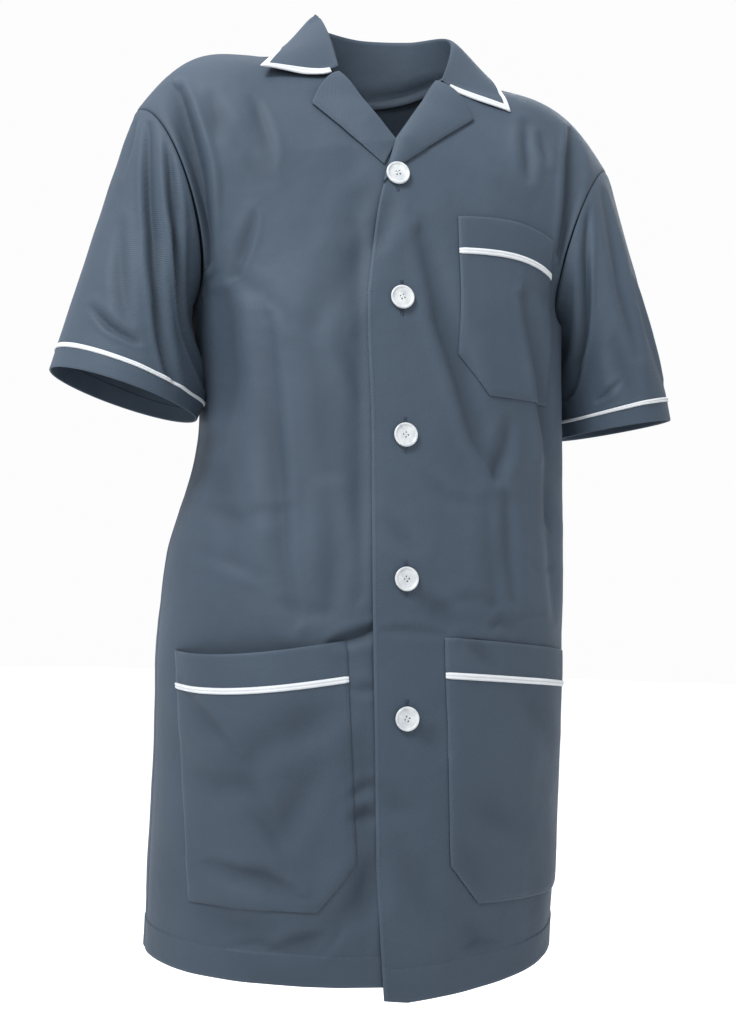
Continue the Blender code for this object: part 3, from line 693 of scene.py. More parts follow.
@dataclass(frozen=True)
class SleevePattern:
    """A sleeve's rings: turn 0 at the shoulder, 0.25 in front; reach 0 at the armhole, 1 at the hem."""

    body: BodyPattern
    side: Side
    length: float = 0.235
    girth: float = 0.40
    seat: float = 0.0003
    ridge: float = 0.0009
    straight: float = 0.10
    top: tuple[float, float] = (0.045, -0.120)
    under: tuple[float, float] = (0.050, -0.070)
    sides: tuple[float, float] = (0.080, -0.080)

    def plain(self, turn: Array, along: Array) -> Array:
        """Points of the unfolded sleeve.

        Args:
            turn: Places round it, 0 at the shoulder and 0.25 in front.
            along: 0 at the armhole to 1 at the hem.

        Returns:
            The points.
        """
        form = SLEEVES[self.side]
        turn = np.mod(turn, 1.0)
        climb = np.abs(1.0 - 2.0 * turn)
        front = self.body.armhole(self.side, climb, True)
        behind = self.body.armhole(self.side, climb, False)
        start = np.where((turn < 0.5)[..., None], front, behind)
        outer = np.array([form.outer_x, -form.forward, form.outer_z])
        inner = np.array([form.inner_x, -form.forward, form.inner_z])
        angle = (2 * np.pi * turn)[..., None]
        end = ((outer + inner) / 2 + (outer - inner) / 2 * np.cos(angle)
               + np.array([0.0, -form.half_depth, 0.0]) * np.sin(angle))
        lean = unit(outer - inner)
        axis = np.array([lean[2], 0.0, -lean[0]])
        upper = np.clip(np.cos(angle), 0.0, 1.0)
        lower = np.clip(-np.cos(angle), 0.0, 1.0)
        leave = (upper * np.array([self.top[0], 0.0, self.top[1]])
                 + lower * np.array([self.under[0], 0.0, self.under[1]])
                 + np.abs(np.sin(angle)) * np.array([self.sides[0], 0.0, self.sides[1]]))
        seat = np.array([1.0, 0.0, 0.0]) * (self.seat + self.ridge * (1.0 - upper))
        s = along[..., None]
        points = ((2 * s ** 3 - 3 * s ** 2 + 1) * (start + seat) + (s ** 3 - 2 * s ** 2 + s) * leave
                  + (3 * s ** 2 - 2 * s ** 3) * end + (s ** 3 - s ** 2) * axis * self.straight)
        return points * np.array([self.side.sign, 1.0, 1.0])

    def normals(self, turn: Array, along: Array) -> Array:
        """Outward unit normals of the unfolded sleeve.

        Args:
            turn: Places round it, 0 at the shoulder and 0.25 in front.
            along: 0 at the armhole to 1 at the hem.

        Returns:
            The normals.
        """
        step = 1e-3
        over = self.plain(turn + step, along) - self.plain(turn - step, along)
        low = np.maximum(along - step, 0.0)
        high = np.minimum(along + step, 1.0)
        down = self.plain(turn, high) - self.plain(turn, low)
        return unit(np.cross(down, over)) * -self.side.sign

    def folded(self, turn: Array, along: Array, lift: Array | float) -> Array:
        """Points of the worn sleeve, moved out from the middle of its cloth by lift.

        Args:
            turn: Places round it, 0 at the shoulder and 0.25 in front.
            along: 0 at the armhole to 1 at the hem.
            lift: How far out from the middle of the cloth.

        Returns:
            The points.
        """
        u = np.mod(turn, 1.0) * self.girth
        v = along * self.length
        points = self.plain(turn, along)
        fold = FoldField(SLEEVE_FOLDS[self.side]).lift(u, v)
        wave = sum(wave.lift(points) for wave in SLEEVE_WAVES)
        free = smooth_step(0.0, 0.09, along)
        cuff = 1.0 - 0.55 * smooth_step(0.84, 1.0, along)
        out = (fold + wave) * free * cuff - 0.0008 * smooth_step(0.03, 0.0, along) + lift
        return points + self.normals(turn, along) * np.asarray(out)[..., None]


COLLAR_COLUMNS = "turn x y z"
ROLL_BACK = ((-0.3, -0.041, 0.032, 0.041), (0.0, 0.0, 0.049, 0.044))
EDGE_BACK = ((-0.3, -0.059, 0.0665, -0.0155), (0.0, 0.0, 0.083, -0.02),
             (0.3, 0.059, 0.0665, -0.0155))
COLLAR_SEAM = Table(COLLAR_COLUMNS, (
    (-0.3, -0.044, 0.04, -0.005), (0.0, 0.0, 0.0575, -0.0085),
    (0.3, 0.044, 0.04, -0.005), (0.62, 0.076, -0.011, 0.003),
    (0.85, 0.059, -0.035, -0.011), (1.00, 0.045, -0.05, -0.0265)))
COLLAR_ROLLS = {
    Side.LEFT: Table(COLLAR_COLUMNS, ROLL_BACK + (
        (0.3, 0.041, 0.032, 0.041), (0.62, 0.066, -0.013, 0.029),
        (0.85, 0.059, -0.037, 0.0025), (1.00, 0.047, -0.0535, -0.0255))),
    Side.RIGHT: Table(COLLAR_COLUMNS, ROLL_BACK + (
        (0.3, 0.041, 0.032, 0.0425), (0.62, 0.053, -0.013, 0.0345),
        (0.85, 0.049, -0.0385, 0.006), (1.00, 0.044, -0.0535, -0.025))),
}
COLLAR_EDGES = {
    Side.LEFT: Table(COLLAR_COLUMNS, EDGE_BACK + (
        (0.62, 0.1005, -0.0045, 0.0), (0.85, 0.106, -0.04, -0.0194),
        (1.00, 0.108, -0.06, -0.046))),
    Side.RIGHT: Table(COLLAR_COLUMNS, EDGE_BACK + (
        (0.62, 0.086, -0.0045, 0.001), (0.85, 0.0975, -0.04, -0.0125),
        (1.00, 0.113, -0.06, -0.032))),
}


@dataclass
class CollarPattern:
    """The collar, from turn 0 at the nape to 1 and -1 at its front ends, and from its seam to its edge."""

    body: BodyPattern
    lift: float = 0.0024
    roll_share: float = 0.35
    rise: float = 0.010
    dip: tuple[float, float] = (0.004, -0.018)
    samples: Array = field(init=False)
    outward: Array = field(init=False)
    tree: KDTree = field(init=False)

    def __post_init__(self) -> None:
        """Gathers the panels' upper parts, which the collar rests on."""
        across, height = np.meshgrid(np.linspace(0.0, 1.0, 60), np.linspace(-0.16, 0.0, 60))
        points = []
        normals = []
        for side in Side:
            for panel in Panel:
                spots = Spots(panel, side, across, height)
                points.append(self.body.half(spots).reshape(-1, 3))
                normals.append(self.body.normals(spots).reshape(-1, 3))
        self.samples = np.concatenate(points)
        self.outward = np.concatenate(normals)
        self.tree = KDTree(len(self.samples))
        for number, point in enumerate(self.samples):
            self.tree.insert(Vector(point), number)
        self.tree.balance()

    def rested(self, points: Array) -> Array:
        """The points, moved out wherever they would lie lower than lift above the nearest panel.

        Args:
            points: Points of the collar.

        Returns:
            The points where they end up.
        """
        flat = points.reshape(-1, 3)
        for _ in range(3):
            nearest = np.array([self.tree.find(Vector(point))[1] for point in flat])
            above = ((flat - self.samples[nearest]) * self.outward[nearest]).sum(axis=1)
            flat = flat + self.outward[nearest] * np.maximum(self.lift - above, 0.0)[:, None]
        return flat.reshape(points.shape)

    def points(self, turn: Array, share: Array) -> Array:
        """The collar's middle surface, from its seam (share 0) over the roll to its outer edge (share 1).

        Args:
            turn: Places round the neck, below 0 on the wearer's right.
            share: Places from the seam to the edge.

        Returns:
            The points.
        """
        around = np.abs(turn)
        right = (turn < 0.0)[..., None]
        seam = COLLAR_SEAM.points(around)
        roll, edge = (np.where(right, lines[Side.RIGHT].points(around), lines[Side.LEFT].points(around))
                      for lines in (COLLAR_ROLLS, COLLAR_EDGES))
        outward = unit((edge - roll) * np.array([1.0, 1.0, 0.0]))
        stand = np.clip(share / self.roll_share, 0.0, 1.0)[..., None]
        fall = np.clip((share - self.roll_share) / (1.0 - self.roll_share), 0.0, 1.0)[..., None]
        dip = (self.dip[0] + self.dip[1] * around ** 6)[..., None] * UP
        crown = roll + outward * self.rise + dip
        rest = 1.0 - fall
        falling = (rest ** 3 * roll + 3 * rest ** 2 * fall * crown
                   + 3 * rest * fall ** 2 * blend(roll, edge, 0.70) + fall ** 3 * edge)
        points = np.where(fall > 0.0, falling, blend(seam, roll, stand))
        points[..., 0] *= np.where(turn < 0.0, -1.0, 1.0)
        return self.rested(points)


# ---------------------------------------------------------------- shader graphs
@dataclass(frozen=True)
class Value:
    """A socket of a material's nodes that carries a number, with arithmetic that adds Math nodes."""

    graph: Graph
    socket: bpy.types.NodeSocket

    def __add__(self, other: Value | float) -> Value:
        """The sum."""
        return self.graph.math("ADD", self, other)

    def __mul__(self, other: Value | float) -> Value:
        """The product."""
        return self.graph.math("MULTIPLY", self, other)

    def __sub__(self, other: Value | float) -> Value:
        """The difference."""
        return self.graph.math("SUBTRACT", self, other)

    def __rsub__(self, other: float) -> Value:
        """The difference, taken from a plain number."""
        return self.graph.math("SUBTRACT", other, self)

    __radd__ = __add__
    __rmul__ = __mul__

    def power(self, exponent: float) -> Value:
        """The value raised to a power."""
        return self.graph.math("POWER", self, exponent)

    def clamped(self) -> Value:
        """The value held between 0 and 1."""
        return self.graph.math("MINIMUM", self.graph.math("MAXIMUM", self, 0.0), 1.0)


@dataclass
class Graph:
    """One material's nodes."""

    name: str
    material: Material = field(init=False)
    shader: bpy.types.Node = field(init=False)

    def __post_init__(self) -> None:
        """Makes the material with its Principled shader."""
        self.material = bpy.data.materials.new(self.name)
        self.material.use_nodes = True
        self.shader = self.material.node_tree.nodes["Principled BSDF"]

    def node(self, kind: str, settings: dict[str, object], inputs: dict[int | str, object]) -> bpy.types.Node:
        """Adds one node.

        Args:
            kind: The node's type.
            settings: Its properties, set before its inputs.
            inputs: Values, or sockets to link, for its input sockets.

        Returns:
            The node.
        """
        node = self.material.node_tree.nodes.new(kind)
        for key, value in settings.items():
            setattr(node, key, value)
        for key, value in inputs.items():
            source = value.socket if isinstance(value, Value) else value
            if isinstance(source, bpy.types.NodeSocket):
                self.material.node_tree.links.new(source, node.inputs[key])
            else:
                node.inputs[key].default_value = source
        return node

    def math(self, operation: str, first: Value | float, second: Value | float) -> Value:
        """A Math node on two values."""
        node = self.node("ShaderNodeMath", {"operation": operation}, {0: first, 1: second})
        return Value(self, node.outputs[0])

    def noise(self, place: bpy.types.NodeSocket, scale: float, detail: float = 3.0) -> Value:
        """Noise of a scale in cells for each metre."""
        node = self.node("ShaderNodeTexNoise", {}, {"Vector": place, "Scale": scale, "Detail": detail})
        return Value(self, node.outputs["Fac"])

    def mix(self, share: Value | float, first: object, second: object) -> bpy.types.NodeSocket:
        """A mix of two colours."""
        node = self.node("ShaderNodeMix", {"data_type": "RGBA"}, {0: share, 6: first, 7: second})
        return node.outputs[2]

    def attribute(self, name: str) -> Value:
        """A number stored on the mesh."""
        node = self.node("ShaderNodeAttribute", {"attribute_name": name}, {})
        return Value(self, node.outputs["Fac"])

    def place(self, kind: str) -> bpy.types.NodeSocket:
        """Texture coordinates: UV or Object."""
        return self.node("ShaderNodeTexCoord", {}, {}).outputs[kind]

    def bump(self, height: Value, strength: float, distance: float) -> None:
        """Feeds a height to the shader's normal."""
        node = self.node("ShaderNodeBump", {}, {"Strength": strength, "Distance": distance, "Height": height})
        self.material.node_tree.links.new(node.outputs[0], self.shader.inputs["Normal"])

    def feed(self, name: str, source: Value | bpy.types.NodeSocket | float | tuple[float, ...]) -> None:
        """Sets or links one of the shader's inputs.

        Args:
            name: The input.
            source: A value, a socket or a constant.
        """
        if isinstance(source, Value):
            source = source.socket
        if isinstance(source, bpy.types.NodeSocket):
            self.material.node_tree.links.new(source, self.shader.inputs[name])
        else:
            self.shader.inputs[name].default_value = source


def colour(red: float, green: float, blue: float) -> tuple[float, float, float, float]:
    """A linear colour with full alpha."""
    return (red, green, blue, 1.0)


@dataclass(frozen=True)
class TwillFinish:
    """Fine twill cloth: diagonal ribs, uneven dye, painted shade in creases and by seams, painted shade
    darkening the skirt towards the hem, paler wear at edges.
    """

    name: str
    base: Tint
    shade: Tint
    worn: Tint
    rib: float = 0.0011
    roughness: float = 0.62
    sheen: float = 0.08
    relief: float = 0.30
    hem_shade: float = 0.36
    hem_shade_from: float = 0.42
    hem_shade_reach: float = 0.37

    def material(self) -> Material:
        """Builds the cloth's material.

        Returns:
            The material.
        """
        graph = Graph(self.name)
        uv = graph.place("UV")
        spot = graph.place("Object")
        ribs = graph.node("ShaderNodeTexWave", {"wave_type": "BANDS", "bands_direction": "DIAGONAL"},
                          {"Vector": uv, "Scale": 1.0 / (self.rib * 20.0 * math.sqrt(2.0)) * 10.0,
                           "Distortion": 0.6, "Detail": 1.0})
        rib = Value(graph, ribs.outputs["Fac"])
        slub = graph.noise(uv, 900.0, 2.0)
        cloud = graph.noise(spot, 9.0, 3.0)
        crumple = graph.noise(spot, 95.0, 4.0)
        crease = graph.attribute("crease")
        wear = graph.attribute("wear")
        # Painted shade: the colour darkens lower down the skirt towards the hem, where less light falls; the
        # cloud noise adds uneven dye.
        depth = 0.0 - Value(graph, graph.node("ShaderNodeSeparateXYZ", {}, {0: spot}).outputs["Z"])
        low = ((depth - self.hem_shade_from) * (1.0 / self.hem_shade_reach)).clamped()
        dye_and_hem_shade = graph.mix((cloud - 0.30) * 0.7 + low * self.hem_shade, colour(*self.base), colour(*self.shade))
        # Painted shade: the crease attribute darkens the troughs of folds and the cloth by seams.
        shaded = graph.mix((crease * 0.50).clamped(), dye_and_hem_shade, colour(*self.shade))
        threads = graph.mix((slub - 0.35) * 0.30 + (1.0 - rib) * 0.07, shaded, colour(*self.shade))
        worn = graph.mix((wear * (crumple * 1.2)).clamped() * 0.30, threads, colour(*self.worn))
        graph.feed("Base Color", worn)
        graph.feed("Roughness", self.roughness + (cloud - 0.5) * 0.16 + (1.0 - rib) * 0.04)
        graph.feed("Sheen Weight", self.sheen)
        graph.feed("Sheen Roughness", 0.45)
        graph.feed("Sheen Tint", colour(0.62, 0.72, 0.86))
        graph.feed("Specular IOR Level", 0.35)
        graph.bump(rib * 0.35 + slub * 0.35 + crumple * 1.9, self.relief, 0.0010)
        return graph.material


@dataclass(frozen=True)
class BraidFinish:
    """White woven piping: fine cross ribs, a little uneven dust, and painted shade in its groove and at its
    edges.
    """

    name: str
    base: Tint = (0.64, 0.66, 0.68)
    dust_and_shade: Tint = (0.48, 0.51, 0.55)
    rib: float = 0.0009

    def material(self) -> Material:
        """Builds the piping's material.

        Returns:
            The material.
        """
        graph = Graph(self.name)
        uv = graph.place("UV")
        ribs = graph.node("ShaderNodeTexWave", {"wave_type": "BANDS", "bands_direction": "X"},
                          {"Vector": uv, "Scale": 1.0 / (self.rib * 20.0) * 10.0, "Distortion": 1.0})
        rib = Value(graph, ribs.outputs["Fac"])
        cloud = graph.noise(graph.place("Object"), 60.0, 3.0)
        groove = graph.attribute("crease")
        # Painted shade: the crease value darkens the groove between the cords; the cloud adds uneven dust.
        dust_and_groove_shade = ((cloud - 0.42) * 0.5 + (1.0 - rib) * 0.10 + groove * 0.7).clamped()
        graph.feed("Base Color", graph.mix(dust_and_groove_shade, colour(*self.base), colour(*self.dust_and_shade)))
        graph.feed("Roughness", 0.72 + (1.0 - rib) * 0.12)
        graph.feed("Sheen Weight", 0.15)
        graph.bump(rib * 0.6 + cloud * 0.4, 0.45, 0.0006)
        return graph.material


@dataclass(frozen=True)
class PearlFinish:
    """Pearly white button resin: cloudy bands, a polished rim and fine scratches."""

    name: str
    base: Tint = (0.54, 0.56, 0.57)
    band: Tint = (0.36, 0.39, 0.42)

    def material(self) -> Material:
        """Builds the button's material.

        Returns:
            The material.
        """
        graph = Graph(self.name)
        spot = graph.place("Object")
        swirl = graph.noise(spot, 160.0, 4.0)
        cloud = graph.noise(spot, 420.0, 2.0)
        cloudy = ((swirl - 0.40) * 2.4).clamped()
        graph.feed("Base Color", graph.mix(cloudy, colour(*self.base), colour(*self.band)))
        graph.feed("Roughness", 0.22 + cloud * 0.22)
        graph.feed("Coat Weight", 0.35 + swirl * 0.2)
        graph.feed("Coat Roughness", 0.12)
        graph.bump(cloud, 0.10, 0.0003)
        return graph.material


@dataclass(frozen=True)
class ThreadFinish:
    """Sewing thread: two plies that twist, with loose fibre."""

    name: str
    base: Tint
    dark: Tint

    def material(self) -> Material:
        """Builds the thread's material.

        Returns:
            The material.
        """
        graph = Graph(self.name)
        twist = graph.noise(graph.place("Object"), 1800.0, 2.0)
        plies = ((twist - 0.3) * 1.4).clamped()
        graph.feed("Base Color", graph.mix(plies, colour(*self.base), colour(*self.dark)))
        graph.feed("Roughness", 0.55 + twist * 0.25)
        graph.bump(twist, 0.4, 0.0002)
        return graph.material


@dataclass(frozen=True)
class StudioFinish:
    """Pale paper for the floor."""

    name: str
    base: Tint = (0.90, 0.90, 0.90)
    cloudy: Tint = (0.84, 0.84, 0.84)
    glow: float = 0.12

    def material(self) -> Material:
        """Builds the floor's material.

        Returns:
            The material.
        """
        graph = Graph(self.name)
        cloud = graph.noise(graph.place("Object"), 3.0, 2.0)
        graph.feed("Base Color", graph.mix(cloud * 0.06, colour(*self.base), colour(*self.cloudy)))
        graph.feed("Roughness", 0.9)
        graph.feed("Emission Color", colour(1.0, 1.0, 1.0))
        graph.feed("Emission Strength", self.glow)
        return graph.material


@dataclass(frozen=True)
class Wardrobe:
    """The garment's finishes."""

    cloth: Material
    piping: Material
    button: Material
    thread: Material
    white_thread: Material

    @classmethod
    def make(cls) -> Wardrobe:
        """Makes each finish's material once.

        Returns:
            The finishes.
        """
        return cls(
            TwillFinish("slate_twill", (0.077, 0.104, 0.138), (0.035, 0.050, 0.070),
                        (0.112, 0.145, 0.184)).material(),
            BraidFinish("white_piping").material(),
            PearlFinish("pearl_resin").material(),
            ThreadFinish("slate_thread", (0.085, 0.115, 0.160), (0.050, 0.070, 0.100)).material(),
            ThreadFinish("white_thread", (0.62, 0.64, 0.68), (0.40, 0.42, 0.47)).material(),
        )


# ---------------------------------------------------------------- meshes
@dataclass
class Skin:
    """A cloth wall on a grid of points: its middle, its normals, and its wall at each point."""

    points: Array
    outward: Array
    wall: Array
    crease: Array
    wear: Array
    closed: bool = False

    @classmethod
    def of(cls, points: Array, outward: Array, wall: float | Array, crease: Array | None = None,
           wear: Array | None = None, closed: bool = False) -> Skin:
        """Makes a skin, with its normals taken from the folded points themselves.

        Args:
            points: The grid, as rows and columns of points.
            outward: Rough outward directions, which settle the normals' sign.
            wall: The cloth's thickness.
            crease: How much painted shade darkens each point, from 0 to 1: in a crease, by a seam or in a
                piping's groove.
            wear: How worn each point is, from 0 to 1.
            closed: Whether each row closes on itself.

        Returns:
            The skin.
        """
        if closed:
            wrapped = np.concatenate([points[:, -1:], points, points[:, :1]], axis=1)
            over = np.gradient(wrapped, axis=1)[:, 1:-1]
        else:
            over = np.gradient(points, axis=1)
        down = np.gradient(points, axis=0)
        normals = unit(np.cross(over, down))
        normals = normals * np.where((normals * outward).sum(axis=-1, keepdims=True) < 0.0, -1.0, 1.0)
        shape = points.shape[:2]
        zero = np.zeros(shape)
        return cls(points, normals, np.broadcast_to(wall, shape),
                   zero if crease is None else crease, zero if wear is None else wear, closed)

    def uv(self) -> Array:
        """Lengths along the rows and columns, in metres.

        Returns:
            A pair of lengths for each point.
        """
        over = np.linalg.norm(np.diff(self.points, axis=1), axis=-1)
        down = np.linalg.norm(np.diff(self.points, axis=0), axis=-1)
        u = np.concatenate([np.zeros((self.points.shape[0], 1)), np.cumsum(over, axis=1)], axis=1)
        v = np.concatenate([np.zeros((1, self.points.shape[1])), np.cumsum(down, axis=0)], axis=0)
        return np.stack([u - u[:, u.shape[1] // 2][:, None], v], axis=-1)

    def flat_size(self) -> tuple[float, float, float]:
        """The cut's greatest width and length, and its area, from the grid.

        Returns:
            Width, length and area.
        """
        ring = np.concatenate([self.points, self.points[:, :1]], axis=1) if self.closed else self.points
        over = np.diff(ring, axis=1)
        down = np.diff(ring, axis=0)
        area = np.linalg.norm(np.cross(over[:-1], down[:, :-1]), axis=-1).sum()
        width = float(np.linalg.norm(over, axis=-1).sum(axis=1).max())
        length = float(np.linalg.norm(down, axis=-1).sum(axis=0).max())
        return width, length, float(min(area, width * length))

    def rim(self) -> list[Array]:
        """The grid's edges, as closed loops of (row, column).

        Returns:
            One loop, or two on a closed ring.
        """
        rows, columns = self.points.shape[:2]
        if self.closed:
            across = np.arange(columns)
            return [np.stack([np.full(columns, row), across], axis=1) for row in (0, rows - 1)]
        top = [(0, c) for c in range(columns - 1)]
        right = [(r, columns - 1) for r in range(rows - 1)]
        low = [(rows - 1, c) for c in range(columns - 1, 0, -1)]
        left = [(r, 0) for r in range(rows - 1, 0, -1)]
        return [np.array(top + right + low + left)]

    def build(self, name: str, material: Material) -> Piece:
        """Makes the closed wall, with a rounded edge all round.

        Args:
            name: The object's name.
            material: Its material.

        Returns:
            The object, in the scene.
        """
        rows, columns = self.points.shape[:2]
        count = rows * columns
        half = self.outward * self.wall[..., None] / 2
        outer = (self.points + half).reshape(-1, 3)
        inner = (self.points - half).reshape(-1, 3)
        index = np.arange(count).reshape(rows, columns)
        after = np.roll(index, -1, axis=1) if self.closed else index[:, 1:]
        before = index if self.closed else index[:, :-1]
        quads = np.stack([before[:-1], after[:-1], after[1:], before[1:]], axis=-1).reshape(-1, 4)
        corner = outer[quads[:, 0]]
        facing = np.cross(outer[quads[:, 1]] - corner, outer[quads[:, 3]] - corner)
        flip = (facing * self.outward.reshape(-1, 3)[quads[:, 0]]).sum() < 0.0
        front = quads[:, ::-1] if flip else quads
        back = front[:, ::-1] + count
        verts = [outer, inner]
        faces = [front, back]
        uv = self.uv().reshape(-1, 2)
        uvs = [uv, uv]
        creases = [self.crease.ravel(), self.crease.ravel()]
        wears = [self.wear.ravel(), self.wear.ravel() * 0.5]
        base = 2 * count
        for loop in self.rim():
            r, c = loop[:, 0], loop[:, 1]
            inside_r = np.where(r == 0, 1, np.where(r == rows - 1, rows - 2, r))
            if self.closed:
                inside_c = c
            else:
                inside_c = np.where(c == 0, 1, np.where(c == columns - 1, columns - 2, c))
            edge = self.points[r, c]
            away = unit(edge - self.points[inside_r, inside_c])
            number = len(loop)
            middle = base + np.arange(number)
            verts.append(edge + away * self.wall[r, c][:, None] * 0.45)
            uvs.append(uv[index[r, c]])
            creases.append(self.crease[r, c])
            wears.append(np.maximum(self.wear[r, c], 0.5))
            here = index[r, c]
            there = np.roll(here, -1)
            onward = np.roll(middle, -1)
            upper = np.stack([here, middle, onward, there], axis=1)
            lower = np.stack([here + count, there + count, onward, middle], axis=1)
            points = np.concatenate(verts)
            corner = points[upper[:, 0]]
            side = np.cross(points[upper[:, 1]] - corner, points[upper[:, 3]] - corner)
            if (side * (self.outward[r, c] + away)).sum() < 0.0:
                upper, lower = upper[:, ::-1], lower[:, ::-1]
            faces.extend([upper, lower])
            base += number
        numbers = {"crease": np.concatenate(creases), "wear": np.concatenate(wears)}
        return make_object(name, np.concatenate(verts), np.concatenate(faces), material,
                           np.concatenate(uvs), numbers)


def make_object(name: str, verts: Array, faces: Array, material: Material,
                uv: Array | None = None, numbers: dict[str, Array] | None = None) -> Piece:
    """Makes one smooth mesh object.

    Args:
        name: Its name.
        verts: Its points.
        faces: Its faces, all with the same number of corners.
        material: Its material.
        uv: A pair of texture coordinates for each point.
        numbers: Named values for each point.

    Returns:
        The object, in the scene.
    """
    mesh = bpy.data.meshes.new(name)
    mesh.from_pydata(verts.tolist(), [], faces.tolist())
    mesh.shade_smooth()
    mesh.materials.append(material)
    if uv is not None:
        layer = mesh.uv_layers.new(name="cloth")
        layer.data.foreach_set("uv", uv[faces.ravel()].ravel())
    for key, values in (numbers or {}).items():
        mesh.attributes.new(key, "FLOAT", "POINT").data.foreach_set("value", values)
    mesh.validate()
    piece = bpy.data.objects.new(name, mesh)
    bpy.context.scene.collection.objects.link(piece)
    return piece


def dashes(centres: Array, tangents: Array, outward: Array, length: float,
           radius: float) -> tuple[Array, Array]:
    """Stitches as short pointed bars.

    Args:
        centres: Their middles.
        tangents: The way each runs.
        outward: The way each stands off the cloth.
        length: The length of a stitch.
        radius: Half its width.

    Returns:
        Points, six to a stitch, and triangles.
    """
    aside = unit(np.cross(tangents, outward))
    corners = [centres - tangents * length / 2 - outward * radius, centres + aside * radius,
               centres + outward * radius, centres - aside * radius,
               centres + tangents * length / 2 - outward * radius, centres - outward * radius]
    verts = np.stack(corners, axis=1).reshape(-1, 3)
    pattern = np.array([(0, 1, 2), (0, 2, 3), (0, 3, 5), (0, 5, 1),
                        (4, 2, 1), (4, 3, 2), (4, 5, 3), (4, 1, 5)])
    faces = (np.arange(len(centres))[:, None, None] * 6 + pattern).reshape(-1, 3)
    return verts, faces


@dataclass
class SeamLine:
    """A line of machine stitches along a path on the cloth."""

    pitch: float = 0.0027
    length: float = 0.0021
    radius: float = 0.00026
    verts: list[Array] = field(default_factory=list)
    faces: list[Array] = field(default_factory=list)
    count: int = 0

    def add(self, centres: Array, tangents: Array, outward: Array, length: float, radius: float) -> None:
        """Adds stitches at the given places.

        Args:
            centres: Their middles.
            tangents: The way each runs.
            outward: The way each stands off.
            length: The length of a stitch.
            radius: Half its width.
        """
        verts, faces = dashes(centres, tangents, outward, length, radius)
        self.verts.append(verts)
        self.faces.append(faces + self.count)
        self.count += len(verts)

    def follow(self, path: Array, outward: Array) -> None:
        """Adds a row of stitches.

        Args:
            path: Points along the seam, on the cloth's surface.
            outward: The cloth's normals there.
        """
        lengths = np.linalg.norm(np.diff(path, axis=0), axis=1)
        marks = np.concatenate([[0.0], np.cumsum(lengths)])
        number = max(int(marks[-1] / self.pitch), 2)
        places = (np.arange(number) + 0.5) * marks[-1] / number
        centres = np.stack([np.interp(places, marks, path[:, k]) for k in range(3)], axis=1)
        ahead = np.stack([np.interp(places + 1e-4, marks, path[:, k]) for k in range(3)], axis=1)
        behind = np.stack([np.interp(places - 1e-4, marks, path[:, k]) for k in range(3)], axis=1)
        normals = np.stack([np.interp(places, marks, outward[:, k]) for k in range(3)], axis=1)
        self.add(centres, unit(ahead - behind), unit(normals), self.length, self.radius)

    def build(self, name: str, material: Material) -> Piece:
        """Joins the stitches into one object."""
        return make_object(name, np.concatenate(self.verts), np.concatenate(self.faces), material)


def crease_share(lift: Array, depth: float = 0.0045) -> Array:
    """How deep in a trough the cloth lies, from 0 to 1, which darkens its colour as painted shade."""
    return np.clip(-lift / depth, 0.0, 1.0)


def near_edge(distance: Array, reach: float = 0.0016) -> Array:
    """1 at an edge, falling to 0 past reach."""
    return np.clip(1.0 - distance / reach, 0.0, 1.0)


def hand_over(piece: Piece, nodes: Sequence[str]) -> None:
    """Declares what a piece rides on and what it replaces.

    Args:
        piece: The object.
        nodes: The CAD nodes that it stands for, if any.
    """
    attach(piece, "root")
    if nodes:
        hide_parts(*nodes)
    LOG.info("%s stands for %s", piece.name, ", ".join(nodes) or "detail")


def sew_in(skin: Skin, name: str, finishes: Wardrobe, node: str,
           braid: bool = False) -> Piece:
    """Args:
        skin: The piece's wall.
        name: The object's name.
        finishes: The garment's finishes.
        node: The CAD node that it stands for.
        braid: Whether it is piping.

    Returns:
        The piece.
    """
    piece = skin.build(name, finishes.piping if braid else finishes.cloth)
    hand_over(piece, [node])
    if not braid:
        width, length, area = skin.flat_size()
        area = max(area, 0.3001 * width * length)
        LOG.info("%s is cut %.3f by %.3f m, %.4f square metres", name, width, length, area)
    return piece


